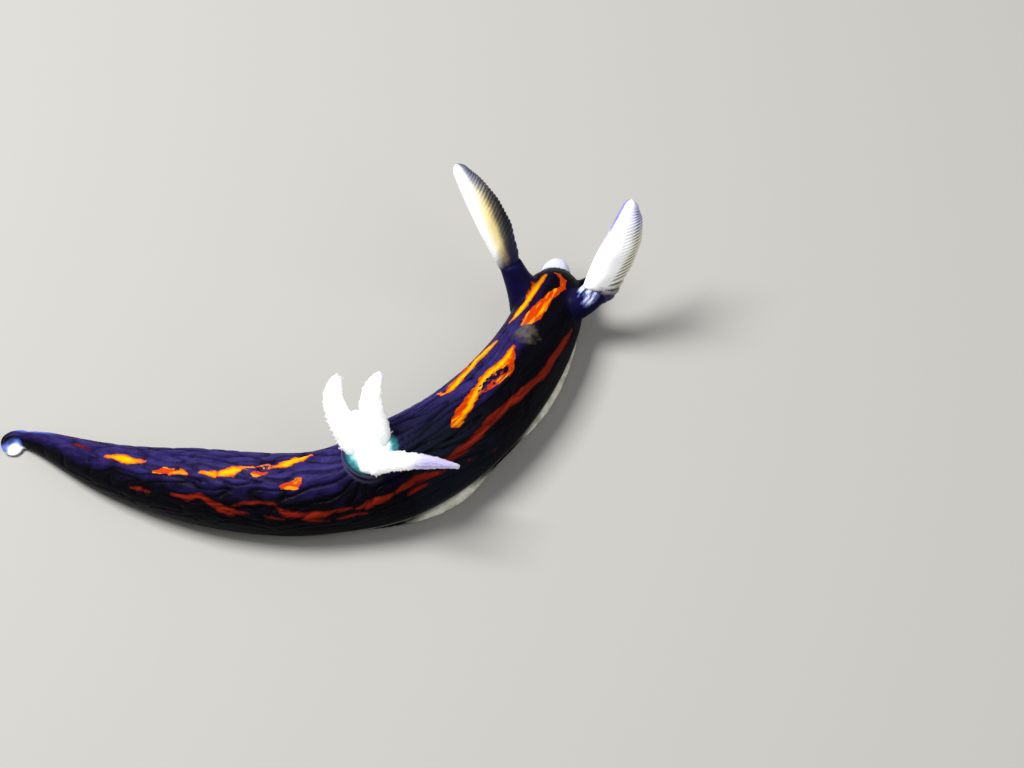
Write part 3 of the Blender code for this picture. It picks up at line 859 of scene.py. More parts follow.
        # The pigment breaks up over about a twentieth of a millimetre at the stripes' edges
        fine = add("VectorMath", 0, MULTIPLY, i0=surface, i1=(2.4, 6.5, 1.0))
        ragged = add("TexNoise", "Fac", Vector=fine, Scale=1.0, Detail=5.0, Roughness=0.6)
        wander = add("Math", 0, MULTIPLY_ADD, i0=ragged, i1=0.24, i2=-0.12)
        edge, cover = {}, {}
        for kind in ("ember", "flame", "gold"):
            edge[kind] = add("Math", 0, i0=share[kind + "_edge"], i1=wander)
            cover[kind] = add("MapRange", "Result", EASED, Value=edge[kind], From_Min=0.014, From_Max=-0.014)
        core = add("MapRange", "Result", EASED, Value=edge["ember"], From_Min=0.0, From_Max=-0.10)
        ember = add("Mix", MIXED, COLOURS, i0=core, i6=self.ember_rim, i7=self.ember_core)
        # Flame is orange red with golden streaks along it, gold has a yellow core and an orange rim
        place = add("VectorMath", 0, MULTIPLY, i0=surface, i1=(1.1, 6.0, 1.0))
        streak = add("TexNoise", "Fac", Vector=place, Scale=1.0, Detail=2.0, Roughness=0.5)
        streak = add("MapRange", "Result", EASED, Value=streak, From_Min=0.54, From_Max=0.66)
        flame = add("Mix", MIXED, COLOURS, i0=streak, i6=self.flame, i7=self.flame_streak)
        depth = add("MapRange", "Result", Value=edge["gold"], From_Min=0.0, From_Max=-0.15)
        stops = ((0.0, self.gold_rim), (0.40, self.gold), (0.85, self.gold_core))
        gold = add("ValToRGB", 0, {"stops": stops}, Fac=depth)
        bright = add("Mix", MIXED, COLOURS, i0=cover["gold"], i6=flame, i7=gold)
        either = add("Math", 0, {"operation": "MAXIMUM"}, i0=cover["gold"], i1=cover["flame"])
        # Ink: flecks of about 0.1 mm where the dark skin shows through the pigment
        fleck = add("TexNoise", "Fac", Vector=fine, Scale=1.4, Detail=4.0, Roughness=0.7)
        fleck = add("Math", 0, MULTIPLY_ADD, i0=fleck, i1=1.1, i2=-0.55)
        ink = add("Math", 0, i0=share["ink_edge"], i1=fleck)
        clear = add("MapRange", "Result", EASED, Value=ink, From_Min=-0.02, From_Max=0.03)
        return [(cover["ember"], ember), (add("Math", 0, MULTIPLY, i0=either, i1=clear), bright)]

    def pale_parts(self, add: Add, share: dict[str, Socket], solid: Socket, mottle: Socket) -> list[Layer]:
        """Olive spot, gill bed and rim, foot margin, snout, tail tip and a painted highlight on the stalks
        under the clubs.

        Args:
            add: Adds a node.
            share: The skin's attributes.
            solid: Place in space in millimetres.
            mottle: Uneven pigment.

        Returns:
            Cover and colour of each layer, from the lowest up.
        """
        uneven = add("Math", 0, MULTIPLY_ADD, i0=mottle, i1=1.3, i2=share["pale_edge"])
        spot = add("MapRange", "Result", EASED, Value=uneven, From_Min=0.98, From_Max=0.40)
        spot = add("Math", 0, MULTIPLY, i0=spot, i1=0.60)
        # The gill's bed is white in the middle and teal where it meets the skin, in tufts of about 0.2 mm
        tufts = add("TexNoise", "Fac", Vector=solid, Scale=5.0, **CLOUDY)
        depth = add("Math", 0, MULTIPLY_ADD, i0=tufts, i1=0.34, i2=share["pocket"])
        stops = (
            (0.14, self.indigo), (0.24, self.deep_teal), (0.40, self.teal), (0.54, self.gill_cyan),
            (0.68, self.gill_white),
        )
        bed = add("ValToRGB", 0, {"stops": stops}, Fac=depth)
        inside = add("MapRange", "Result", Value=share["pocket"], From_Min=0.0, From_Max=0.08)
        # The foot's margin is chalky, in patches of about 0.45 mm
        patchy = add("TexNoise", "Fac", Vector=solid, Scale=2.2, **CLOUDY)
        margin = add("ValToRGB", 0, {"stops": ((0.35, self.foot_grey), (0.65, self.foot_pale))}, Fac=patchy)
        blue = add("Math", 0, {"operation": "MAXIMUM"}, i0=share["tail_blue"], i1=share["tail_edge"])
        # Painted highlight in blue-white, in fine streaks up the stalk under the clubs
        stalk_place = add("Attribute", "Vector", {"attribute_name": "stalk_place"})
        thread = add("TexNoise", "Fac", Vector=stalk_place, Scale=1.0, **CLOUDY)
        thread = add("MapRange", "Result", EASED, Value=thread, From_Min=0.30, From_Max=0.66)
        glow = add("Math", 0, MULTIPLY, i0=share["glow"], i1=thread)
        stops = ((0.2, self.stalk_blue), (0.5, self.highlight_blue), (0.9, self.tail_pale))
        highlight_colour = add("ValToRGB", 0, {"stops": stops}, Fac=glow)
        return [
            (spot, self.olive), (inside, bed), (share["rim"], self.rim_grey), (share["foot"], margin),
            (share["snout"], self.snout_pale), (blue, self.tail_blue), (share["tail_tip"], self.tail_pale),
            (glow, highlight_colour),
        ]


# Rhinophore lamellae, thin leaves of flesh stacked round a smooth keel. They give the eye soft ivory that
# lets light in, fine gaps darkened by painted shade towards the rear edge, and a plain white keel; on the
# left club painted shade also darkens the rear side.
@dataclass(frozen=True)
class ClubFinish:
    """Ivory club by the turn round it, with painted shade in the gaps and on the left club's rear, and a
    tinted root and tip.
    """

    name: str
    turn_stops: tuple[tuple[float, str], ...]
    tip_stops: tuple[tuple[float, str], ...]
    keel_growth: float
    gap_shade_strength: float
    root_fade: float
    # Colour of the painted shade in the gaps
    gap: str = "14131C"
    root: str = "15133C"

    def material(self) -> bpy.types.Material:
        """Keel, flesh and rear of the club.

        Returns:
            The material.
        """
        material, add = start_finish(self.name)
        names = ("club_turn", "club_gap", "club_share")
        turn, gap, share = (add("Attribute", "Fac", {"attribute_name": name}) for name in names)
        solid = add("VectorMath", 0, MULTIPLY, i0=add("TexCoord", "Object"), i1=TO_MM)
        # The bands' edges wander, in waves of about 0.4 mm
        cloud = add("TexNoise", "Fac", Vector=solid, Scale=2.5, **CLOUDY)
        cloud = add("Math", 0, MULTIPLY_ADD, i0=cloud, i1=0.12, i2=0.44)
        turn = add("Math", 0, MULTIPLY_ADD, i0=turn, i1=0.5, i2=cloud)
        # The white keel widens towards the tip
        wide = add("Math", 0, MULTIPLY_ADD, i0=share, i1=-self.keel_growth, i2=turn)
        wide = add("Math", 0, i0=wide, i1=0.10)
        # On the left club the rear stops are painted shade, grey to near black
        colour = add("ValToRGB", 0, {"stops": self.turn_stops}, Fac=wide)
        tip = add("ValToRGB", 0, {"stops": self.tip_stops}, Fac=turn)
        high = add("MapRange", "Result", EASED, Value=share, From_Min=0.50, From_Max=0.84)
        # Painted shade in the gaps between the lamellae
        shade = add("Math", 0, MULTIPLY, i0=gap, i1=self.gap_shade_strength)
        # The flesh darkens into the stalk in streaks of about 0.2 mm
        streaks = add("TexNoise", "Fac", Vector=solid, Scale=6.0, **CLOUDY)
        low = add("Math", 0, MULTIPLY_ADD, i0=streaks, i1=-0.10, i2=share)
        root = add("MapRange", "Result", EASED, Value=low, From_Min=self.root_fade, From_Max=-0.02)
        for cover, paint in ((high, tip), (shade, self.gap), (root, self.root)):
            colour = add("Mix", MIXED, COLOURS, i0=cover, i6=colour, i7=paint)
        # Grain of the flesh, about 0.08 mm
        grain = add("TexNoise", "Fac", Vector=solid, Scale=12.0, Detail=2.0, Roughness=0.6)
        normal = add("Bump", 0, Strength=0.5, Distance=0.01 * METRES_PER_MM, Height=grain)
        shader = add(
            "BsdfPrincipled", 0, Base_Color=colour, Roughness=0.42, IOR=1.25, Subsurface_Weight=0.3,
            Subsurface_Radius=(0.9, 0.9, 1.0), Subsurface_Scale=0.2 * METRES_PER_MM, Normal=normal,
        )
        add("OutputMaterial", Surface=shader)
        return material


# Gill plume, glassy filaments of thin wet flesh. They scatter light until they look like white down, so the
# material lets light deep in, and a slight emission of its own is painted light that stands for the
# photograph's burnt-out white.
@dataclass(frozen=True)
class GillFinish:
    """White filaments, teal where they root and lavender at their tips."""

    white: str = "FBFCFF"
    cream: str = "EEE4D0"
    teal: str = "58B9BC"
    lavender: str = "A29CC2"

    def material(self) -> bpy.types.Material:
        """White, tinted by the share along the branch and by nearness to its stem.

        Returns:
            The material.
        """
        material, add = start_finish("gill_filaments")
        names = ("gill_share", "gill_depth")
        share, depth = (add("Attribute", "Fac", {"attribute_name": name}) for name in names)
        solid = add("VectorMath", 0, MULTIPLY, i0=add("TexCoord", "Object"), i1=TO_MM)
        # Warmer tufts of about 0.3 mm
        cloud = add("TexNoise", "Fac", Vector=solid, Scale=3.0, **CLOUDY)
        warm = add("MapRange", "Result", EASED, Value=cloud, From_Min=0.5, From_Max=0.75)
        tips = add("MapRange", "Result", EASED, Value=share, From_Min=0.62, From_Max=1.15)
        between = add("MapRange", "Result", EASED, Value=depth, From_Min=0.30, From_Max=0.55)
        between = add("Math", 0, MULTIPLY, i0=between, i1=0.12)
        colour = self.white
        for cover, paint in ((warm, self.cream), (tips, self.lavender), (between, self.teal)):
            colour = add("Mix", MIXED, COLOURS, i0=cover, i6=colour, i7=paint)
        # Painted light: a faint emission in the filaments' own colour keeps shaded ones white
        shader = add(
            "BsdfPrincipled", 0, Base_Color=colour, Roughness=0.5, IOR=1.2, Subsurface_Weight=1.0,
            Subsurface_Radius=(1.0, 1.0, 1.1), Subsurface_Scale=0.9 * METRES_PER_MM,
            Emission_Color=colour, Emission_Strength=0.14,
        )
        add("OutputMaterial", Surface=shader)
        return material


# Skin


@dataclass
class Skin:
    """One skin over body, foot, snout, tentacles, stalks and gill rim, with folds and markings."""

    form: BodyForm
    voxel: float = 0.062  # small enough for the folds, and under 200,000 triangles
    smoothing: int = 4
    foot_height: float = 0.55
    foot_rear: float = 0.06
    foot_front: float = 0.952
    foot_cap: float = 0.045
    foot_stations: tuple[float, ...] = (0.0, 0.50, 0.57, 0.64, 0.72, 0.82, 0.90, 0.95)
    foot_shares: tuple[float, ...] = (0.66, 0.70, 0.81, 0.98, 0.82, 0.97, 0.90, 0.85)
    foot_wave: float = 0.03
    head_face: float = 0.985
    snout_level: float = 1.25
    snout_size: Place = (0.88, 0.60, 0.58)
    mouth_dip: float = 38.0
    mouth_depth: float = 0.22
    lip_height: float = 0.06
    tentacle_station: float = 0.965
    tentacle_radius: float = 0.32
    tentacle_taper: float = 0.07
    tentacle_sag: float = 0.10
    pocket_centre: tuple[float, float] = (-0.08, -0.14)
    pocket_half: tuple[float, float] = (1.06, 0.98)
    rim_radius: float = 0.085
    bed_height: float = 0.36
    bed_share: float = 0.92
    bed_sink: float = 0.16
    bed_fluff: float = 0.10
    hook: tuple[Place, Place, Place] = ((-12.27, 8.08, 0.28), (-12.96, 8.20, 0.32), (-13.10, 7.62, 0.20))
    hook_radius: float = 0.26
    hook_middle: tuple[float, float] = (-12.85, 7.74)
    flap_centre: Place = (-12.80, 7.76, 0.11)
    flap_size: Place = (0.34, 0.28, 0.11)
    flap_middle: tuple[float, float] = (-12.80, 7.70)
    fold_depth: float = 0.075
    ridge_share: float = 0.4

    NODES = (
        "tail_tip", "tail", "hind_body", "mid_body", "fore_body", "head", "foot_rear", "foot_middle",
        "foot_front", "snout", "oral_tentacle_left", "oral_tentacle_right", "rhinophore_stalk_left",
        "rhinophore_stalk_right", "gill_collar",
    )

    FOLD_STATIONS = (0.0, 0.12, 0.35, 0.50, 0.72, 0.86, 1.0)
    FOLD_SHARES = (0.1, 0.45, 0.8, 1.0, 0.9, 0.30, 0.1)

    def body(self) -> BMesh:
        """The whole body from tail to head.

        Returns:
            The body.
        """
        form = self.form
        rings, tail_rings, head_rings = 300, 4, 22
        last = rings - head_rings

        def place(ring: int, angle: float) -> Vector:
            """Point of the skin.

            Args:
                ring: Its ring, from 0 at the tail.
                angle: Its angle from the middle of the back.

            Returns:
                The point.
            """
            share = (ring - tail_rings) / (last - tail_rings)
            station = form.tail_cap + (form.head_cap - form.tail_cap) * share
            if ring < tail_rings:
                station = form.tail_cap * (1.0 - math.cos(QUARTER * ring / tail_rings))
            elif ring > last:
                turn = QUARTER * (ring - last) / head_rings
                station = form.head_cap + (1.0 - form.head_cap) * math.sin(turn)
            return form.skin_point(station, angle)

        return swept(72, rings, place)

    def foot(self) -> BMesh:
        """The foot, a plate with a flat sole and a thin, slightly wavy margin.

        Returns:
            The foot.
        """
        rings, cap_rings = 200, 16
        cap = self.foot_front - self.foot_cap
        last = rings - cap_rings

        def place(ring: int, angle: float) -> Vector:
            """Point of the foot.

            Args:
                ring: Its ring, from 0 at the rear.
                angle: Its angle from the middle of the upper side.

            Returns:
                The point.
            """
            station = self.foot_rear + (cap - self.foot_rear) * ring / last
            if ring > last:
                station = cap + self.foot_cap * math.sin(QUARTER * (ring - last) / cap_rings)
            point, _, left = self.form.frame_at(station)
            if ring == 0:
                return point + UP * self.foot_height / 2.0
            size = math.sqrt(max(0.0, 1.0 - max(0.0, (station - cap) / self.foot_cap) ** 2))
            share = float(curve_through(self.foot_stations, self.foot_shares, station))
            # The margin waves over about 0.8 mm
            wave = noise.noise(Vector((station * 34.0, math.copysign(3.0, math.sin(angle)), 0.0)))
            spread = math.copysign(abs(math.sin(angle)) ** 0.6, math.sin(angle))
            side = -float(self.form.half_width(station)) * (share + self.foot_wave * wave) * size * spread
            thinning = 1.0 - 0.62 * abs(spread) ** 8
            height = self.foot_height * thinning * min(max(0.5 + 0.62 * math.cos(angle), 0.0), 1.0)
            return point + left * side + UP * height

        return swept(64, rings, place)

    def snout(self) -> BMesh:
        """Pale dome in front of the head, with lips round the mouth.

        Returns:
            The snout.
        """
        rings = 48
        point, forward, left = self.form.frame_at(self.head_face)
        centre = point + UP * self.snout_level
        dip = math.radians(self.mouth_dip)
        mouth = forward * math.cos(dip) - UP * math.sin(dip)
        over = left.cross(mouth)

        def place(ring: int, angle: float) -> Vector:
            """Point of the snout.

            Args:
                ring: Its ring, from 0 at the mouth.
                angle: Its angle round the mouth.

            Returns:
                The point.
            """
            polar = math.pi * ring / rings
            round_mouth = left * math.cos(angle) + over * math.sin(angle)
            out = mouth * math.cos(polar) + round_mouth * math.sin(polar)
            degrees = math.degrees(polar)
            dent = self.mouth_depth * math.exp(-((degrees / 12.0) ** 2))
            lip = self.lip_height * math.exp(-(((degrees - 30.0) / 13.0) ** 2))
            spot = centre + forward * out.dot(forward) * self.snout_size[0]
            spot += left * out.dot(left) * self.snout_size[1] + UP * out.z * self.snout_size[2]
            return spot + out * (lip - dent)

        return swept(48, rings, place)

    def tentacle_path(self, side: float) -> Path:
        """Axis of an oral tentacle, which sags a little.

        Args:
            side: 1 for the left one, -1 for the right one.

        Returns:
            Point for a share of its length.
        """
        point, forward, left = self.form.frame_at(self.tentacle_station)
        root = point + left * side * 0.62 + UP * 1.20
        run = forward * 1.60 + left * side * 1.15 - UP * 0.82
        return lambda share: root + run * share - UP * self.tentacle_sag * math.sin(math.pi * share)

    def limbs(self) -> list[BMesh]:
        """Tentacles, stalks and the hooked tip of the tail.

        Returns:
            The limbs.
        """
        ahead = self.form.frame_at(self.tentacle_station)[1]
        tentacle: Reach = lambda share, angle: (self.tentacle_radius - self.tentacle_taper * share, 0.0)
        hooked: Reach = lambda share, angle: (self.hook_radius * (1.0 - 0.50 * share), 0.0)
        made = [limb(self.tentacle_path(side), tentacle, 24, 24, 6, 0.16, ahead) for side in (1.0, -1.0)]
        for stalk in RHINOPHORES:
            made.append(limb(stalk.stalk_path(self.form), stalk.stalk_reach, 34, 32, 4, 0.06, REAR_DIRECTION))
        hook = bent_path(*(Vector(place) for place in self.hook))
        made.append(limb(hook, hooked, 20, 20, 8, 0.2, UP))
        return made

    def over_back(self, place: Vector) -> float:
        """Height of the pocket's skin over a point round the gill."""
        return float(self.form.back_level(self.form.gill)) - 0.55 * (place.y / 1.5) ** 2

    def rim(self) -> BMesh:
        """Low fold of skin round the gill, a ring narrower than it is long.

        Returns:
            The rim.
        """
        long, wide = self.pocket_half
        bm = bmesh.new()
        bmesh.ops.create_circle(bm, cap_ends=False, radius=self.rim_radius, segments=16)
        bmesh.ops.rotate(bm, cent=MIDDLE, matrix=Matrix.Rotation(QUARTER, 3, "X"), verts=bm.verts[:])
        bmesh.ops.translate(bm, vec=(long, 0.0, 0.0), verts=bm.verts[:])
        bmesh.ops.spin(
            bm, geom=bm.verts[:] + bm.edges[:], cent=MIDDLE, axis=UP, angle=math.tau, steps=72, use_merge=True
        )
        bmesh.ops.remove_doubles(bm, verts=bm.verts[:], dist=0.0001)
        bmesh.ops.scale(bm, vec=(1.0, wide / long, 1.0), verts=bm.verts[:])
        bmesh.ops.translate(bm, vec=(*self.pocket_centre, 0.0), verts=bm.verts[:])
        for vert in bm.verts:
            vert.co.z += self.over_back(vert.co)
        face_outwards(bm)
        return bm

    def bed(self) -> BMesh:
        """Dome inside the rim that the gill's branches stand on.

        Returns:
            The bed.
        """
        long, wide = self.pocket_half
        size = (long * self.bed_share, wide * self.bed_share, self.bed_height)
        bm = ball(48, 24, size, (*self.pocket_centre, 0.0))
        for vert in bm.verts:
            vert.co.z += self.over_back(vert.co) - self.bed_sink
        face_outwards(bm)
        return bm

    def fused(self) -> Mesh:
        """One closed mesh round all the forms, smoothed where they meet.
        """
        whole = bmesh.new()
        flap = ball(32, 20, self.flap_size, self.flap_centre)
        for bm in (self.body(), self.foot(), self.snout(), *self.limbs(), flap, self.rim(), self.bed()):
            join(whole, bm)
        return fuse(whole, self.voxel * (1.0), self.smoothing)

    def folds(self, station: np.ndarray, angle: np.ndarray) -> tuple[np.ndarray, np.ndarray]:
        """The skin's fine folds at each vertex, which fan out behind the gill.

        Args:
            station: Station of each vertex.
            angle: Angle of each vertex in radians.

        Returns:
            Depth from 0 to 1 in the bottom of a crease, and swell from 0 to 1 on a ridge.
        """
        along, around = self.form.place_mm(station, angle)
        behind = self.form.gill * self.form.length - along
        reach = np.hypot(behind, around)
        fan = smooth_step(4.2, 1.6, reach) * smooth_step(0.2, 0.9, behind)
        bearing = np.arctan2(around, np.maximum(behind, 0.05))
        hind = smooth_step(0.52, 0.44, station)
        depth = np.zeros(len(along))
        swell = np.zeros(len(along))
        for i in range(len(along)):
            x, y = along[i], around[i]
            # Lengthwise folds 0.3 mm apart and about 2.4 mm long, 1.2 mm on the hind body
            drift = 0.30 * noise.noise(Vector((x * 0.7, y * 0.8, 7.0)))
            long = noise.noise(Vector((x * 0.42, y * 3.4 + drift * 2.0, 0.0)))
            short = noise.noise(Vector((x * 0.85 + drift, y * 3.5 + drift * 2.0, 5.0)))
            lines = long * (1.0 - hind[i]) + short * hind[i]
            if fan[i] > 0.01:
                # Behind the gill they fan out, thirteen to a full turn
                spokes = math.sin(bearing[i] * 13.0 + 6.0 * drift + reach[i] * 0.5) * 0.30
                lines = lines * (1.0 - fan[i]) + spokes * fan[i]
            # Fine creases between them, about 0.2 mm apart
            fine = noise.noise(Vector((x * 1.3, y * 4.6, 11.0)))
            depth[i] = max(0.0, 1.0 - abs(lines) / 0.13) ** 1.5 + 0.3 * max(0.0, 1.0 - abs(fine) / 0.2)
            swell[i] = min(abs(lines) / 0.35, 1.0)
        upper = smooth_step(1.9, 1.1, np.abs(angle))
        middle = curve_through(self.FOLD_STATIONS, self.FOLD_SHARES, station)
        return depth * upper * middle, swell * upper * middle

    def build(self) -> None:
        """Fuse the forms, sink the folds, store the markings and show the skin."""
        form = self.form
        mesh = self.fused()
        points = read_rows(mesh.vertices, "co")
        normals = read_rows(mesh.vertex_normals, "vector")
        station, left, angle = form.locate(points)
        outside = form.outside(station, left, points[:, 2])
        stalk, glow, stalk_place = self.near_stalks(points)
        tentacle = self.near_tentacles(points)
        pocket, rim = self.near_pocket(points)
        plain = (1.0 - stalk) * (1.0 - tentacle) * (1.0 - smooth_step(0.0, 0.1, pocket + rim))
        depth, swell = self.folds(station, angle)
        crease = depth * plain
        # Tufts of about 0.15 mm on the gill's bed
        fluff = np.array([noise.noise(Vector(point) * 7.0) for point in points])
        fluff *= smooth_step(0.1, 0.5, pocket)
        sunk = (crease - self.ridge_share * swell * plain) * self.fold_depth + fluff * self.bed_fluff
        points -= normals * sunk[:, None]
        points[:, 2] = np.maximum(points[:, 2], 0.0)
        write_points(mesh, points)
        along, around = form.place_mm(station, angle)
        keep(mesh, "skin_place", np.stack([along, around, np.zeros(len(along))], -1))
        keep(mesh, "stalk_place", stalk_place)
        for paint in Paint:
            keep(mesh, paint.value, edge_distance(form, paint, station, angle))
        # The folds' depth also darkens the creases with painted shade, and their swell lightens the ridges
        # with a painted highlight
        shares = {
            "swell": swell * plain, "crease": np.clip(crease, 0.0, 1.0), "stalk": stalk, "glow": glow,
            "pocket": pocket, "rim": rim, **self.pale_shares(points, station, left, angle, outside, tentacle),
            **self.dark_shares(station, angle),
        }
        for name, values in shares.items():
            keep(mesh, name, values)
        show(mesh, "skin", self.NODES, WetSkinFinish().material())

    def pale_shares(
        self, points: np.ndarray, station: np.ndarray, left: np.ndarray, angle: np.ndarray,
        outside: np.ndarray, tentacle: np.ndarray,
    ) -> dict[str, np.ndarray]:
        """Where the foot's margin, the snout and the tail's tip are.

        Args:
            points: Rows of x, y and z.
            station: Station of each point.
            left: Its offset to the left.
            angle: Its angle from the middle of the back.
            outside: Its distance from the body's own form.
            tentacle: Its share of tentacle.

        Returns:
            Shares from 0 to 1, by attribute.
        """
        x, y, z = points.T
        near_edge = smooth_step(0.80, 0.90, np.abs(left) / self.form.half_width(station))
        low = smooth_step(0.62, 0.40, z) * smooth_step(0.46, 0.56, station)
        sole = smooth_step(0.06, 0.0, z)
        front = smooth_step(0.97, 0.985, station) * (1.0 - tentacle) * smooth_step(0.80, 0.68, np.abs(left))
        hooked = smooth_step(0.58, 0.40, np.hypot(x - self.hook_middle[0], y - self.hook_middle[1]))
        away = np.hypot(x - self.flap_middle[0], y - self.flap_middle[1])
        hook_side = smooth_step(8.02, 7.80, y) * smooth_step(-12.86, -13.10, x)
        # A thin line of blue along the tail's left edge, seen over the back
        edge = smooth_step(0.095, 0.06, station) * smooth_step(-0.30, -0.62, angle)
        return {
            "foot": np.maximum(low * near_edge, sole * smooth_step(0.99, 0.97, station)),
            "snout": front * smooth_step(0.03, 0.08, outside),
            "tail_tip": hooked * np.maximum(smooth_step(0.27, 0.17, z), smooth_step(0.32, 0.16, away)),
            "tail_blue": hooked * np.maximum(hook_side, smooth_step(0.40, 0.28, away)),
            "tail_edge": edge * smooth_step(-1.55, -1.10, angle) * 0.75,
        }

    def dark_shares(self, station: np.ndarray, angle: np.ndarray) -> dict[str, np.ndarray]:
        """Painted shade on the flanks, which starts nearer the back on the right side, and where the slate
        skin in front of the gill is.

        Args:
            station: Station of each point.
            angle: Its angle from the middle of the back.

        Returns:
            Shares by attribute; the painted shade goes past 1 on the sides of the head, where it meets the
            head's dark top.
        """
        fore = smooth_step(0.55, 0.65, station)
        # Painted shade, reaching higher up the right flank than the left one
        right = fore * smooth_step(-0.25, 0.80, angle) + (1.0 - fore) * smooth_step(0.0, 1.10, angle)
        flank = np.maximum(right, smooth_step(0.6, 1.5, -angle)) + 0.45 * smooth_step(0.84, 0.92, station)
        ahead = station - self.form.gill
        slate = smooth_step(0.015, 0.04, ahead) * smooth_step(0.17, 0.08, ahead)
        return {"flank": flank, "slate": slate * smooth_step(-0.75, 0.0, angle)}

    def near_stalks(self, points: np.ndarray) -> tuple[np.ndarray, np.ndarray, np.ndarray]:
        """Where the stalks are.

        Args:
            points: Rows of x, y and z.

        Returns:
            Share of stalk, share of the painted highlight under the clubs, and a place along and round the
            stalk.
        """
        found = np.zeros(len(points))
        glow = np.zeros(len(points))
        place = np.zeros((len(points), 3))
        steps = 40
        for rhinophore in RHINOPHORES:
            path = rhinophore.stalk_path(self.form)
            samples = np.array([path(i / steps) for i in range(steps + 1)])
            index, distance = nearest_on(points, samples)
            share = index / steps
            near = smooth_step(1.0, 0.62, distance)
            found = np.maximum(found, near * smooth_step(0.05, 0.5, share))
            run = np.array(path(1.0) - path(0.0))
            run /= np.linalg.norm(run)
            side = np.cross(run, (0.0, 0.0, 1.0))
            away = points - samples[index]
            # Painted highlight on the upper, keel side of the stalk near its club, scaled by each
            # rhinophore's share
            keel_side = smooth_step(0.25, -0.35, away @ np.array(REAR_DIRECTION) / np.maximum(distance, 0.01))
            glow = np.maximum(glow, near * keel_side * smooth_step(0.40, 0.80, share) * rhinophore.glow)
            # The place counts less along the stalk than round it, so that the streaks run up it
            turn = np.arctan2(away @ side, away @ np.cross(side, run))
            mine = near > 0.0
            place[mine] = np.stack([share * 2.0, turn * 2.6, np.zeros(len(points))], -1)[mine]
        return found, glow, place

    def near_tentacles(self, points: np.ndarray) -> np.ndarray:
        """Where the tentacles are.

        Args:
            points: Rows of x, y and z.

        Returns:
            Share of tentacle at each point.
        """
        steps = 20
        found = np.zeros(len(points))
        for side in (1.0, -1.0):
            path = self.tentacle_path(side)
            samples = np.array([path(i / steps) for i in range(steps + 1)])
            index, distance = nearest_on(points, samples)
            far = smooth_step(0.35, 0.6, index / steps)
            found = np.maximum(found, smooth_step(0.5, 0.36, distance) * far)
        return found

    def near_pocket(self, points: np.ndarray) -> tuple[np.ndarray, np.ndarray]:
        """Where the gill's pocket is.

        Args:
            points: Rows of x, y and z.

        Returns:
            Share of its bed, and of the crest of its rim, at each point.
        """
        (long, wide), (ahead, left) = self.pocket_half, self.pocket_centre
        reach = np.hypot((points[:, 0] - ahead) / long, (points[:, 1] - left) / wide)
        high = smooth_step(-0.9, -0.6, points[:, 2] - float(self.form.back_level(self.form.gill)))
        bed = np.clip((0.97 - reach) / 0.8, 0.0, 1.0) * high
        crest = np.exp(-(((reach - 1.03) / 0.04) ** 2)) * high
        return bed, crest * smooth_step(0.4, -0.6, points[:, 0]) * 0.7


# Rhinophores

REAR_DIRECTION = Vector((0.97, -0.25, 0.0))


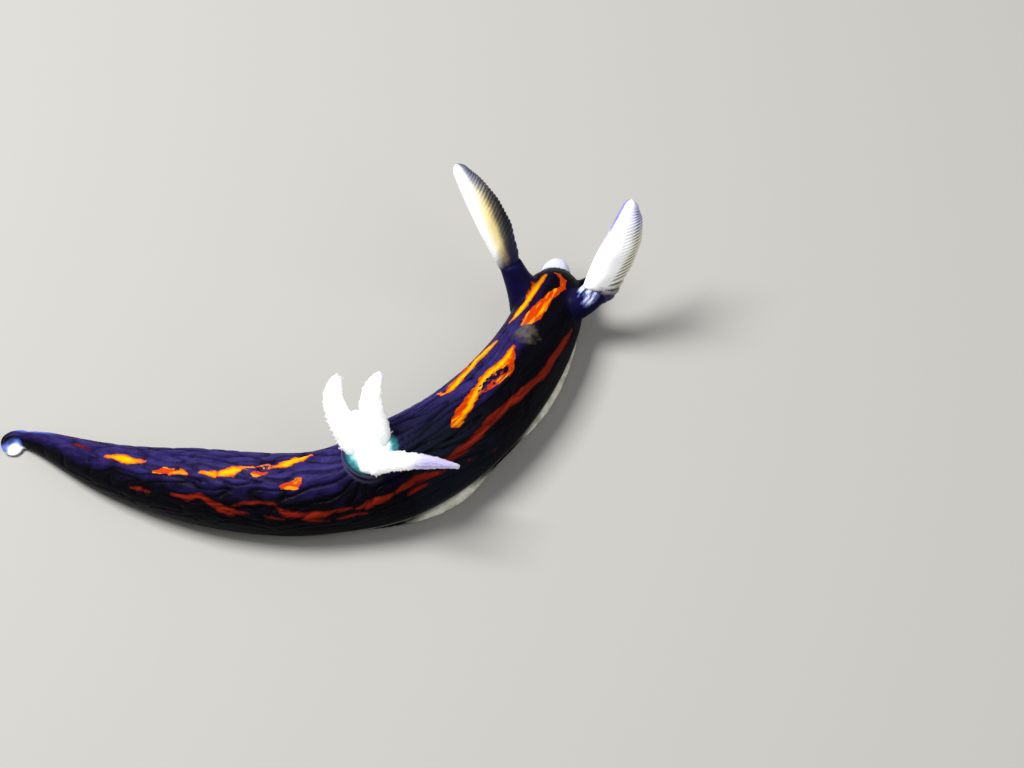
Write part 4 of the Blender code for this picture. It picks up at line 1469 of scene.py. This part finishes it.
@dataclass(frozen=True)
class Rhinophore:
    """Places of a rhinophore as ahead, outward and up from its station, and the size of its club."""

    name: str
    side: float
    stalk: tuple[Place, Place]
    club: tuple[Place, Place]
    keel: float
    rear: float
    rear_at_root: float
    stalk_radii: tuple[float, float, float]
    gap_turns: tuple[float, float]
    gap_depth: float
    glow: float
    keel_shares: tuple[float, ...]
    base_drop: float
    finish: ClubFinish
    station: float = 0.93
    thickness: float = 0.52
    lamellae: int = 26
    rings_per_lamella: int = 7
    rise: float = 0.75
    root_round: float = 0.07

    STATIONS = (0.0, 0.10, 0.25, 0.42, 0.60, 0.80, 1.0)
    REAR_SHARES = (1.0, 1.0, 0.86, 0.60, 0.26)

    def head_place(self, form: BodyForm, place: Place) -> Vector:
        """Point given as ahead, outward and up from the rhinophores' station."""
        point, forward, left = form.frame_at(self.station)
        return point + forward * place[0] + left * self.side * place[1] + UP * place[2]

    def stalk_path(self, form: BodyForm) -> Path:
        """Axis of the stalk, up into the club.

        Args:
            form: The body.

        Returns:
            Point for a share of the stalk's length.
        """
        root, bend = (self.head_place(form, place) for place in self.stalk)
        club_root, club_tip = (self.head_place(form, place) for place in self.club)
        return bent_path(root, bend, club_root + (club_tip - club_root).normalized() * 0.3)

    def stalk_reach(self, share: float, angle: float) -> tuple[float, float]:
        """Radius of the stalk, which flares into the head and cups the club."""
        root, neck, top = self.stalk_radii
        return neck + (root - neck) * (1.0 - share) ** 2 + (top - neck) * share**3, 0.0

    def gap(self, share: float) -> float:
        """Depth of the gap between two lamellae at a share of the club, from 0 to 1."""
        phase = (share / 0.94 * self.lamellae) % 1.0
        return math.exp(-(((phase - 0.5) / 0.20) ** 2)) * float(smooth_step(0.96, 0.86, share))

    def gap_shade(self, share: float, angle: float) -> float:
        """How dark the painted shade in the gaps is: it shows towards the rear edge, and reaches further
        round near the root.

        Args:
            share: Share of the club.
            angle: Angle round it from its rear edge.

        Returns:
            The darkness, from 0 to 1.
        """
        low, high = self.gap_turns
        wider = 0.55 * float(smooth_step(0.45, 0.05, share))
        turn = math.cos(angle)
        edge = 1.0 - 0.5 * float(smooth_step(0.94, 1.0, turn))
        return self.gap(share) * edge * float(smooth_step(low - wider, high - wider * 0.5, turn))

    def club_reach(self, share: float, angle: float) -> tuple[float, float]:
        """Two half ellipses, rear and keel, notched between the lamellae.

        Args:
            share: Share of the club.
            angle: Angle round it from its rear edge.

        Returns:
            Distance from the axis, and rise along it, because the lamellae slope.
        """
        swell = (self.rear_at_root, (self.rear_at_root + 1.0) / 2.0, *self.REAR_SHARES)
        keel_reach = self.keel * float(curve_through(self.STATIONS, self.keel_shares, share))
        rear_reach = self.rear * float(curve_through(self.STATIONS, swell, share))
        thick = self.thickness * rear_reach / self.rear
        turn = math.cos(angle)
        depth = rear_reach if turn > 0.0 else keel_reach
        distance = depth * thick / math.hypot(thick * turn, depth * math.sin(angle))
        notch = self.gap_depth * float(smooth_step(0.3, 0.95, turn))
        distance *= 1.0 - notch * self.gap(share)
        short = 1.0 - min(share / self.root_round, 1.0)
        distance *= math.sqrt(1.0 - 0.75 * short**2)
        fade = min(share / 0.15, 1.0) * min((1.0 - share) / 0.25, 1.0)
        drop = self.base_drop * max(turn, 0.0) * max(1.0 - share / 0.3, 0.0) ** 2
        return distance, self.rise * distance * turn * fade - drop

    def build(self, form: BodyForm) -> None:
        """Build the club with its lamellae and show it.

        Args:
            form: The body.
        """
        root, tip = (self.head_place(form, place) for place in self.club)
        tip_rings = 8
        rings = self.lamellae * self.rings_per_lamella + tip_rings + 1
        tags = {"share": [], "angle": []}
        bm = limb(partial(root.lerp, tip), self.club_reach, rings, 80, tip_rings, 0.06, REAR_DIRECTION, tags)
        bmesh.ops.scale(bm, vec=(METRES_PER_MM,) * 3, verts=bm.verts[:])
        mesh = mesh_of(bm, "club_" + self.name)
        mesh.shade_smooth()
        keep(mesh, "club_share", tags["share"])
        keep(mesh, "club_turn", [math.cos(angle) for angle in tags["angle"]])
        keep(mesh, "club_gap", [self.gap_shade(*place) for place in zip(tags["share"], tags["angle"])])
        show(mesh, mesh.name, ("rhinophore_club_" + self.name,), self.finish.material())


# Painted shade: the left club's rear side and the rear of its tip go grey to near black, while the right
# club's stay pale
LEFT_CLUB = ClubFinish(
    name="ivory_lamellae_painted_shade_left",
    turn_stops=((0.22, "FFFFFF"), (0.40, "F6ECC4"), (0.62, "E2CD8C"), (0.76, "605C4C"), (0.90, "1C1D23")),
    tip_stops=((0.52, "FFFFFF"), (0.74, "E6E2D4"), (0.88, "888A9C"), (1.0, "44465C")),
    keel_growth=0.46, gap_shade_strength=0.30, root_fade=0.24,
)
RIGHT_CLUB = ClubFinish(
    name="ivory_lamellae_painted_shade_right",
    turn_stops=((0.01, "A3A1D2"), (0.08, "FFFFFF"), (0.85, "FAFAFA"), (1.0, "DEDCC8")),
    tip_stops=((0.02, "726DBC"), (0.12, "FFFFFF"), (0.80, "F0F0FF"), (1.0, "9EA0CC")),
    keel_growth=0.10, gap_shade_strength=1.0, root_fade=0.10,
)
RHINOPHORES = (
    Rhinophore(
        name="left", side=1.0, stalk=((0.05, 0.70, 1.40), (0.25, 1.05, 2.30)),
        club=((0.38, 1.27, 3.10), (1.97, 3.37, 6.90)), keel=0.46, rear=0.78, rear_at_root=0.42,
        stalk_radii=(0.86, 0.48, 0.43), gap_turns=(0.55, 0.98), gap_depth=0.05, glow=0.0,
        keel_shares=(0.92, 1.0, 1.02, 1.02, 0.95, 0.80, 0.50), base_drop=0.0, finish=LEFT_CLUB,
    ),
    Rhinophore(
        name="right", side=-1.0, stalk=((0.10, 0.70, 1.45), (0.22, 1.45, 1.85)),
        club=((0.33, 1.98, 2.35), (2.20, 3.18, 5.75)), keel=0.60, rear=0.90, rear_at_root=0.72,
        stalk_radii=(0.68, 0.48, 0.52), gap_turns=(0.80, 0.94), gap_depth=0.08, glow=1.0,
        keel_shares=(0.95, 1.0, 1.0, 0.93, 0.78, 0.56, 0.32), base_drop=0.42, finish=RIGHT_CLUB,
    ),
)


# Gill


@dataclass(frozen=True)
class Plume:
    """A branch of the gill: root, middle and tip as forward, left and up from the top of the back."""

    name: str
    root: Place
    middle: Place
    tip: Place
    reaches: tuple[float, ...]
    seed: int
    tint: float
    sink: float = 0.3
    core_share: float = 0.86
    pitch: float = 0.085
    first: float = 0.03
    last: float = 0.97
    rows: int = 19
    lean: float = 0.70
    voxel: float = 0.024
    smoothing: int = 1
    filament_depth: float = 0.035

    REACH_STATIONS = (0.0, 0.14, 0.30, 0.52, 0.76, 1.0)

    def path(self, form: BodyForm) -> Path:
        """Axis of the branch.

        Args:
            form: The body.

        Returns:
            Point for a share of its length.
        """
        top = UP * float(form.back_level(form.gill))
        root, middle, tip = (Vector(point) + top for point in (self.root, self.middle, self.tip))
        return bent_path(root - UP * self.sink, middle, tip)

    def reach(self, share: float) -> float:
        """How far the filaments reach from the axis at a share of the branch."""
        return float(curve_through(self.REACH_STATIONS, self.reaches, share))

    def pinna_place(
        self, share: float, turn: float, path: Path, length: float, draw: random.Random
    ) -> Matrix:
        """Where a pinna goes, with its length drawn anew.

        Args:
            share: Share of the branch at which it roots.
            turn: Its angle round the axis.
            path: The axis.
            length: The axis's length.
            draw: Source of its small differences.

        Returns:
            Matrix that places a unit pinna.
        """
        along = (path(share + 0.01) - path(share - 0.01)).normalized()
        side = along.cross(UP).normalized()
        out = side * math.sin(turn) + side.cross(along) * math.cos(turn)
        end = min(share + self.lean * self.reach(share) / length, 1.0)
        span = self.reach(end) * math.hypot(1.0, self.lean) * draw.uniform(0.96, 1.12)
        span *= 0.90 + 0.10 * abs(math.sin(turn))
        axis = (out + along * (self.lean + draw.uniform(-0.15, 0.15))).normalized()
        flat = axis.cross(out.cross(along)).normalized()
        width = 0.045 + 0.05 * self.reach(share)
        turned = Matrix((axis, flat, axis.cross(flat))).transposed().to_4x4()
        return Matrix.Translation(path(share)) @ turned @ Matrix.Diagonal((span, width, width, 1.0))

    def feathered(self, path: Path, length: float) -> BMesh:
        """Fleshy core with its rows of pinnae.

        Args:
            path: The branch's axis.
            length: Its length.

        Returns:
            The branch, its pinnae not yet fused.
        """
        draw = random.Random(self.seed)
        core: Reach = lambda share, angle: (self.reach(share) * self.core_share, 0.0)
        bm = limb(path, core, 44, 20, 6, 0.05, Vector((1.0, 0.0, 0.0)))
        count = round((self.last - self.first) * length / self.pitch)
        step = (self.last - self.first) / count
        pinna = feathered_pinna()
        for number in range(count + 1):
            for row in range(self.rows):
                # Each row starts a third of a step after the one before it
                share = min(self.first + step * (number + (row % 3) / 3.0), 0.985)
                turn = math.tau * (row + draw.uniform(0.0, 1.0)) / self.rows
                place = self.pinna_place(share, turn, path, length, draw)
                before = len(bm.verts)
                bm.from_mesh(pinna)
                bm.verts.ensure_lookup_table()
                bmesh.ops.transform(bm, matrix=place, verts=bm.verts[before:])
        bpy.data.meshes.remove(pinna)
        return bm

    def build(self, form: BodyForm, finish: bpy.types.Material) -> None:
        """Build the branch, roughen it along its filaments and show it.

        Args:
            form: The body.
            finish: The gill's material.
        """
        path = self.path(form)
        length = sum((path((i + 1) / 20) - path(i / 20)).length for i in range(20))
        mesh = fuse(self.feathered(path, length), self.voxel, self.smoothing)
        points = read_rows(mesh.vertices, "co")
        steps = 240
        samples = np.array([path(i / steps) for i in range(steps + 1)])
        index, distance = nearest_on(points, samples)
        share = index / steps
        away = points - samples[index]
        turn = np.arctan2(away[:, 2], away @ np.array(path(1.0).cross(UP).normalized()))
        # Ridges about 0.45 mm long, coarser than the real filaments so that they show
        ridges = [noise.noise(Vector((s * length * 2.2, t * 3.5, self.seed))) for s, t in zip(share, turn)]
        points += read_rows(mesh.vertex_normals, "vector") * (np.array(ridges) * self.filament_depth)[:, None]
        reach = curve_through(self.REACH_STATIONS, self.reaches, share)
        keep(mesh, "gill_share", share * self.tint)
        keep(mesh, "gill_depth", np.clip(1.0 - distance / reach, 0.0, 1.0))
        write_points(mesh, points)
        show(mesh, "plume_" + self.name, ("gill_branch_" + self.name,), finish)


def feathered_pinna() -> Mesh:
    """One pinna along X, a unit long, with short pinnules on both sides of its outer part.

    Returns:
        Its mesh.
    """
    bm = bmesh.new()
    cones = [(0.5, 0.0, 0.0, 1.0, 0.55, 0.12, 5)]
    for number in range(4):
        for side in (-1.0, 1.0):
            cones.append((0.50 + 0.13 * number, side * 0.40, side * 48.0, 1.0 - 0.12 * number, 0.26, 0.06, 3))
    for x, y, turn, length, base, top, sides in cones:
        made = bmesh.ops.create_cone(
            bm, cap_ends=True, segments=sides, radius1=base, radius2=top, depth=length
        )["verts"]
        bmesh.ops.rotate(bm, cent=MIDDLE, matrix=Matrix.Rotation(QUARTER, 3, "Y"), verts=made)
        if turn:
            # A pinnule's length counts in widths of the pinna
            bmesh.ops.rotate(bm, cent=MIDDLE, matrix=Matrix.Rotation(math.radians(turn), 3, "Z"), verts=made)
            bmesh.ops.scale(bm, vec=(0.35, 1.0, 1.0), verts=made)
        bmesh.ops.translate(bm, vec=(x, y, 0.0), verts=made)
    face_outwards(bm)
    return mesh_of(bm, "pinna")


PLUMES = (
    Plume(
        name="rear_left", root=(-0.44, 0.16, 0.0), middle=(-0.80, 1.44, 1.06), tip=(-0.34, 2.26, 1.58),
        reaches=(0.62, 0.58, 0.50, 0.42, 0.32, 0.16), seed=3, tint=0.95,
    ),
    Plume(
        name="left", root=(-0.08, 0.10, 0.0), middle=(-0.22, 0.66, 0.68), tip=(-0.22, 1.00, 0.92),
        reaches=(0.80, 0.80, 0.74, 0.58, 0.36, 0.10), seed=2, tint=0.5,
    ),
    Plume(
        name="front_left", root=(0.24, 0.14, 0.0), middle=(0.48, 1.08, 1.16), tip=(1.10, 1.72, 1.64),
        reaches=(0.62, 0.62, 0.56, 0.44, 0.31, 0.14), seed=5, tint=0.95,
    ),
    Plume(
        name="front_right", root=(-0.42, -0.42, -0.05), middle=(0.98, -1.46, 0.48), tip=(2.64, -2.30, 0.30),
        reaches=(0.54, 0.50, 0.42, 0.33, 0.23, 0.08), seed=4, tint=1.6,
    ),
)


# Setting


@dataclass(frozen=True)
class Setting:
    """Camera at the photograph's angle, a pale floor and soft studio light."""

    aim_mm: Place = (5.93, 3.13, 0.0)
    distance_mm: float = 100.0
    elevation: float = 53.0
    turn: float = 8.56
    roll: float = 12.0
    lens: float = 92.46
    nearest_mm: float = 1.0
    floor: str = "96948F"
    floor_half_mm: float = 600.0
    floor_drop_mm: float = 0.01
    key_mm: Place = (-58.0, 52.0, 140.0)
    key_size_mm: float = 70.0
    key_watts: float = 0.50
    fill_mm: Place = (90.0, -100.0, 110.0)
    fill_size_mm: float = 110.0
    fill_watts: float = 0.12
    sky_colour: str = "E8ECF4"
    sky: float = 0.35

    def camera(self) -> None:
        """Place the camera."""
        elevation, turn, roll = (math.radians(angle) for angle in (self.elevation, self.turn, self.roll))
        right = Vector((math.cos(turn), -math.sin(turn), 0.0))
        ahead = Vector((math.sin(turn), math.cos(turn), 0.0))
        view = ahead * math.cos(elevation) - UP * math.sin(elevation)
        over = ahead * math.sin(elevation) + UP * math.cos(elevation)
        x_axis = right * math.cos(roll) - over * math.sin(roll)
        y_axis = right * math.sin(roll) + over * math.cos(roll)
        place = (Vector(self.aim_mm) - view * self.distance_mm) * METRES_PER_MM
        data = bpy.data.cameras.new("camera")
        data.lens = self.lens
        data.clip_start = self.nearest_mm * METRES_PER_MM
        camera = bpy.data.objects.new("camera", data)
        turned = Matrix((x_axis, y_axis, -view)).transposed().to_4x4()
        camera.matrix_world = Matrix.Translation(place) @ turned
        bpy.context.scene.collection.objects.link(camera)
        bpy.context.scene.camera = camera

    def lamp(self, name: str, place_mm: Place, size_mm: float, power: float) -> None:
        """Soft square lamp that faces the animal.

        Args:
            name: Its name.
            place_mm: Its place in millimetres.
            size_mm: Its width.
            power: Its power in watts.
        """
        data = bpy.data.lights.new(name, "AREA")
        data.size = size_mm * METRES_PER_MM
        data.energy = power
        lamp = bpy.data.objects.new(name, data)
        place = Vector(place_mm) * METRES_PER_MM
        lamp.location = place
        lamp.rotation_mode = "QUATERNION"
        lamp.rotation_quaternion = (-place).to_track_quat("-Z", "Y")
        bpy.context.scene.collection.objects.link(lamp)

    def build(self) -> None:
        """Floor, lights, world and camera."""
        bm = bmesh.new()
        bmesh.ops.create_grid(bm, x_segments=1, y_segments=1, size=self.floor_half_mm * METRES_PER_MM)
        # Just under the sole, so that the two don't lie in one plane
        bmesh.ops.translate(bm, vec=(0.0, 0.0, -self.floor_drop_mm * METRES_PER_MM), verts=bm.verts[:])
        mesh = mesh_of(bm, "floor")
        # Matt card: it gives the eye an even, pale ground that takes soft shadows
        material, add = start_finish("matt_pale_card")
        add("OutputMaterial", Surface=add("BsdfPrincipled", Base_Color=self.floor, Roughness=0.9))
        mesh.materials.append(material)
        floor = object_of(mesh, "floor")
        self.lamp("key", self.key_mm, self.key_size_mm, self.key_watts)
        self.lamp("fill", self.fill_mm, self.fill_size_mm, self.fill_watts)
        world = bpy.data.worlds.new("studio")
        world.use_nodes = True
        background = world.node_tree.nodes["Background"]
        background.inputs["Color"].default_value = linear(self.sky_colour)
        background.inputs["Strength"].default_value = self.sky
        bpy.context.scene.world = world
        bpy.context.scene.view_settings.view_transform = "Standard"
        self.camera()


def main() -> None:
    """Build every piece."""
    logging.basicConfig(level=logging.INFO, format="%(message)s")
    form = BodyForm()
    Skin(form).build()
    for rhinophore in RHINOPHORES:
        rhinophore.build(form)
    gill = GillFinish().material()
    for plume in PLUMES:
        plume.build(form, gill)
    Setting().build()
    bpy.context.view_layer.update()


if __name__ == "__main__":
    main()
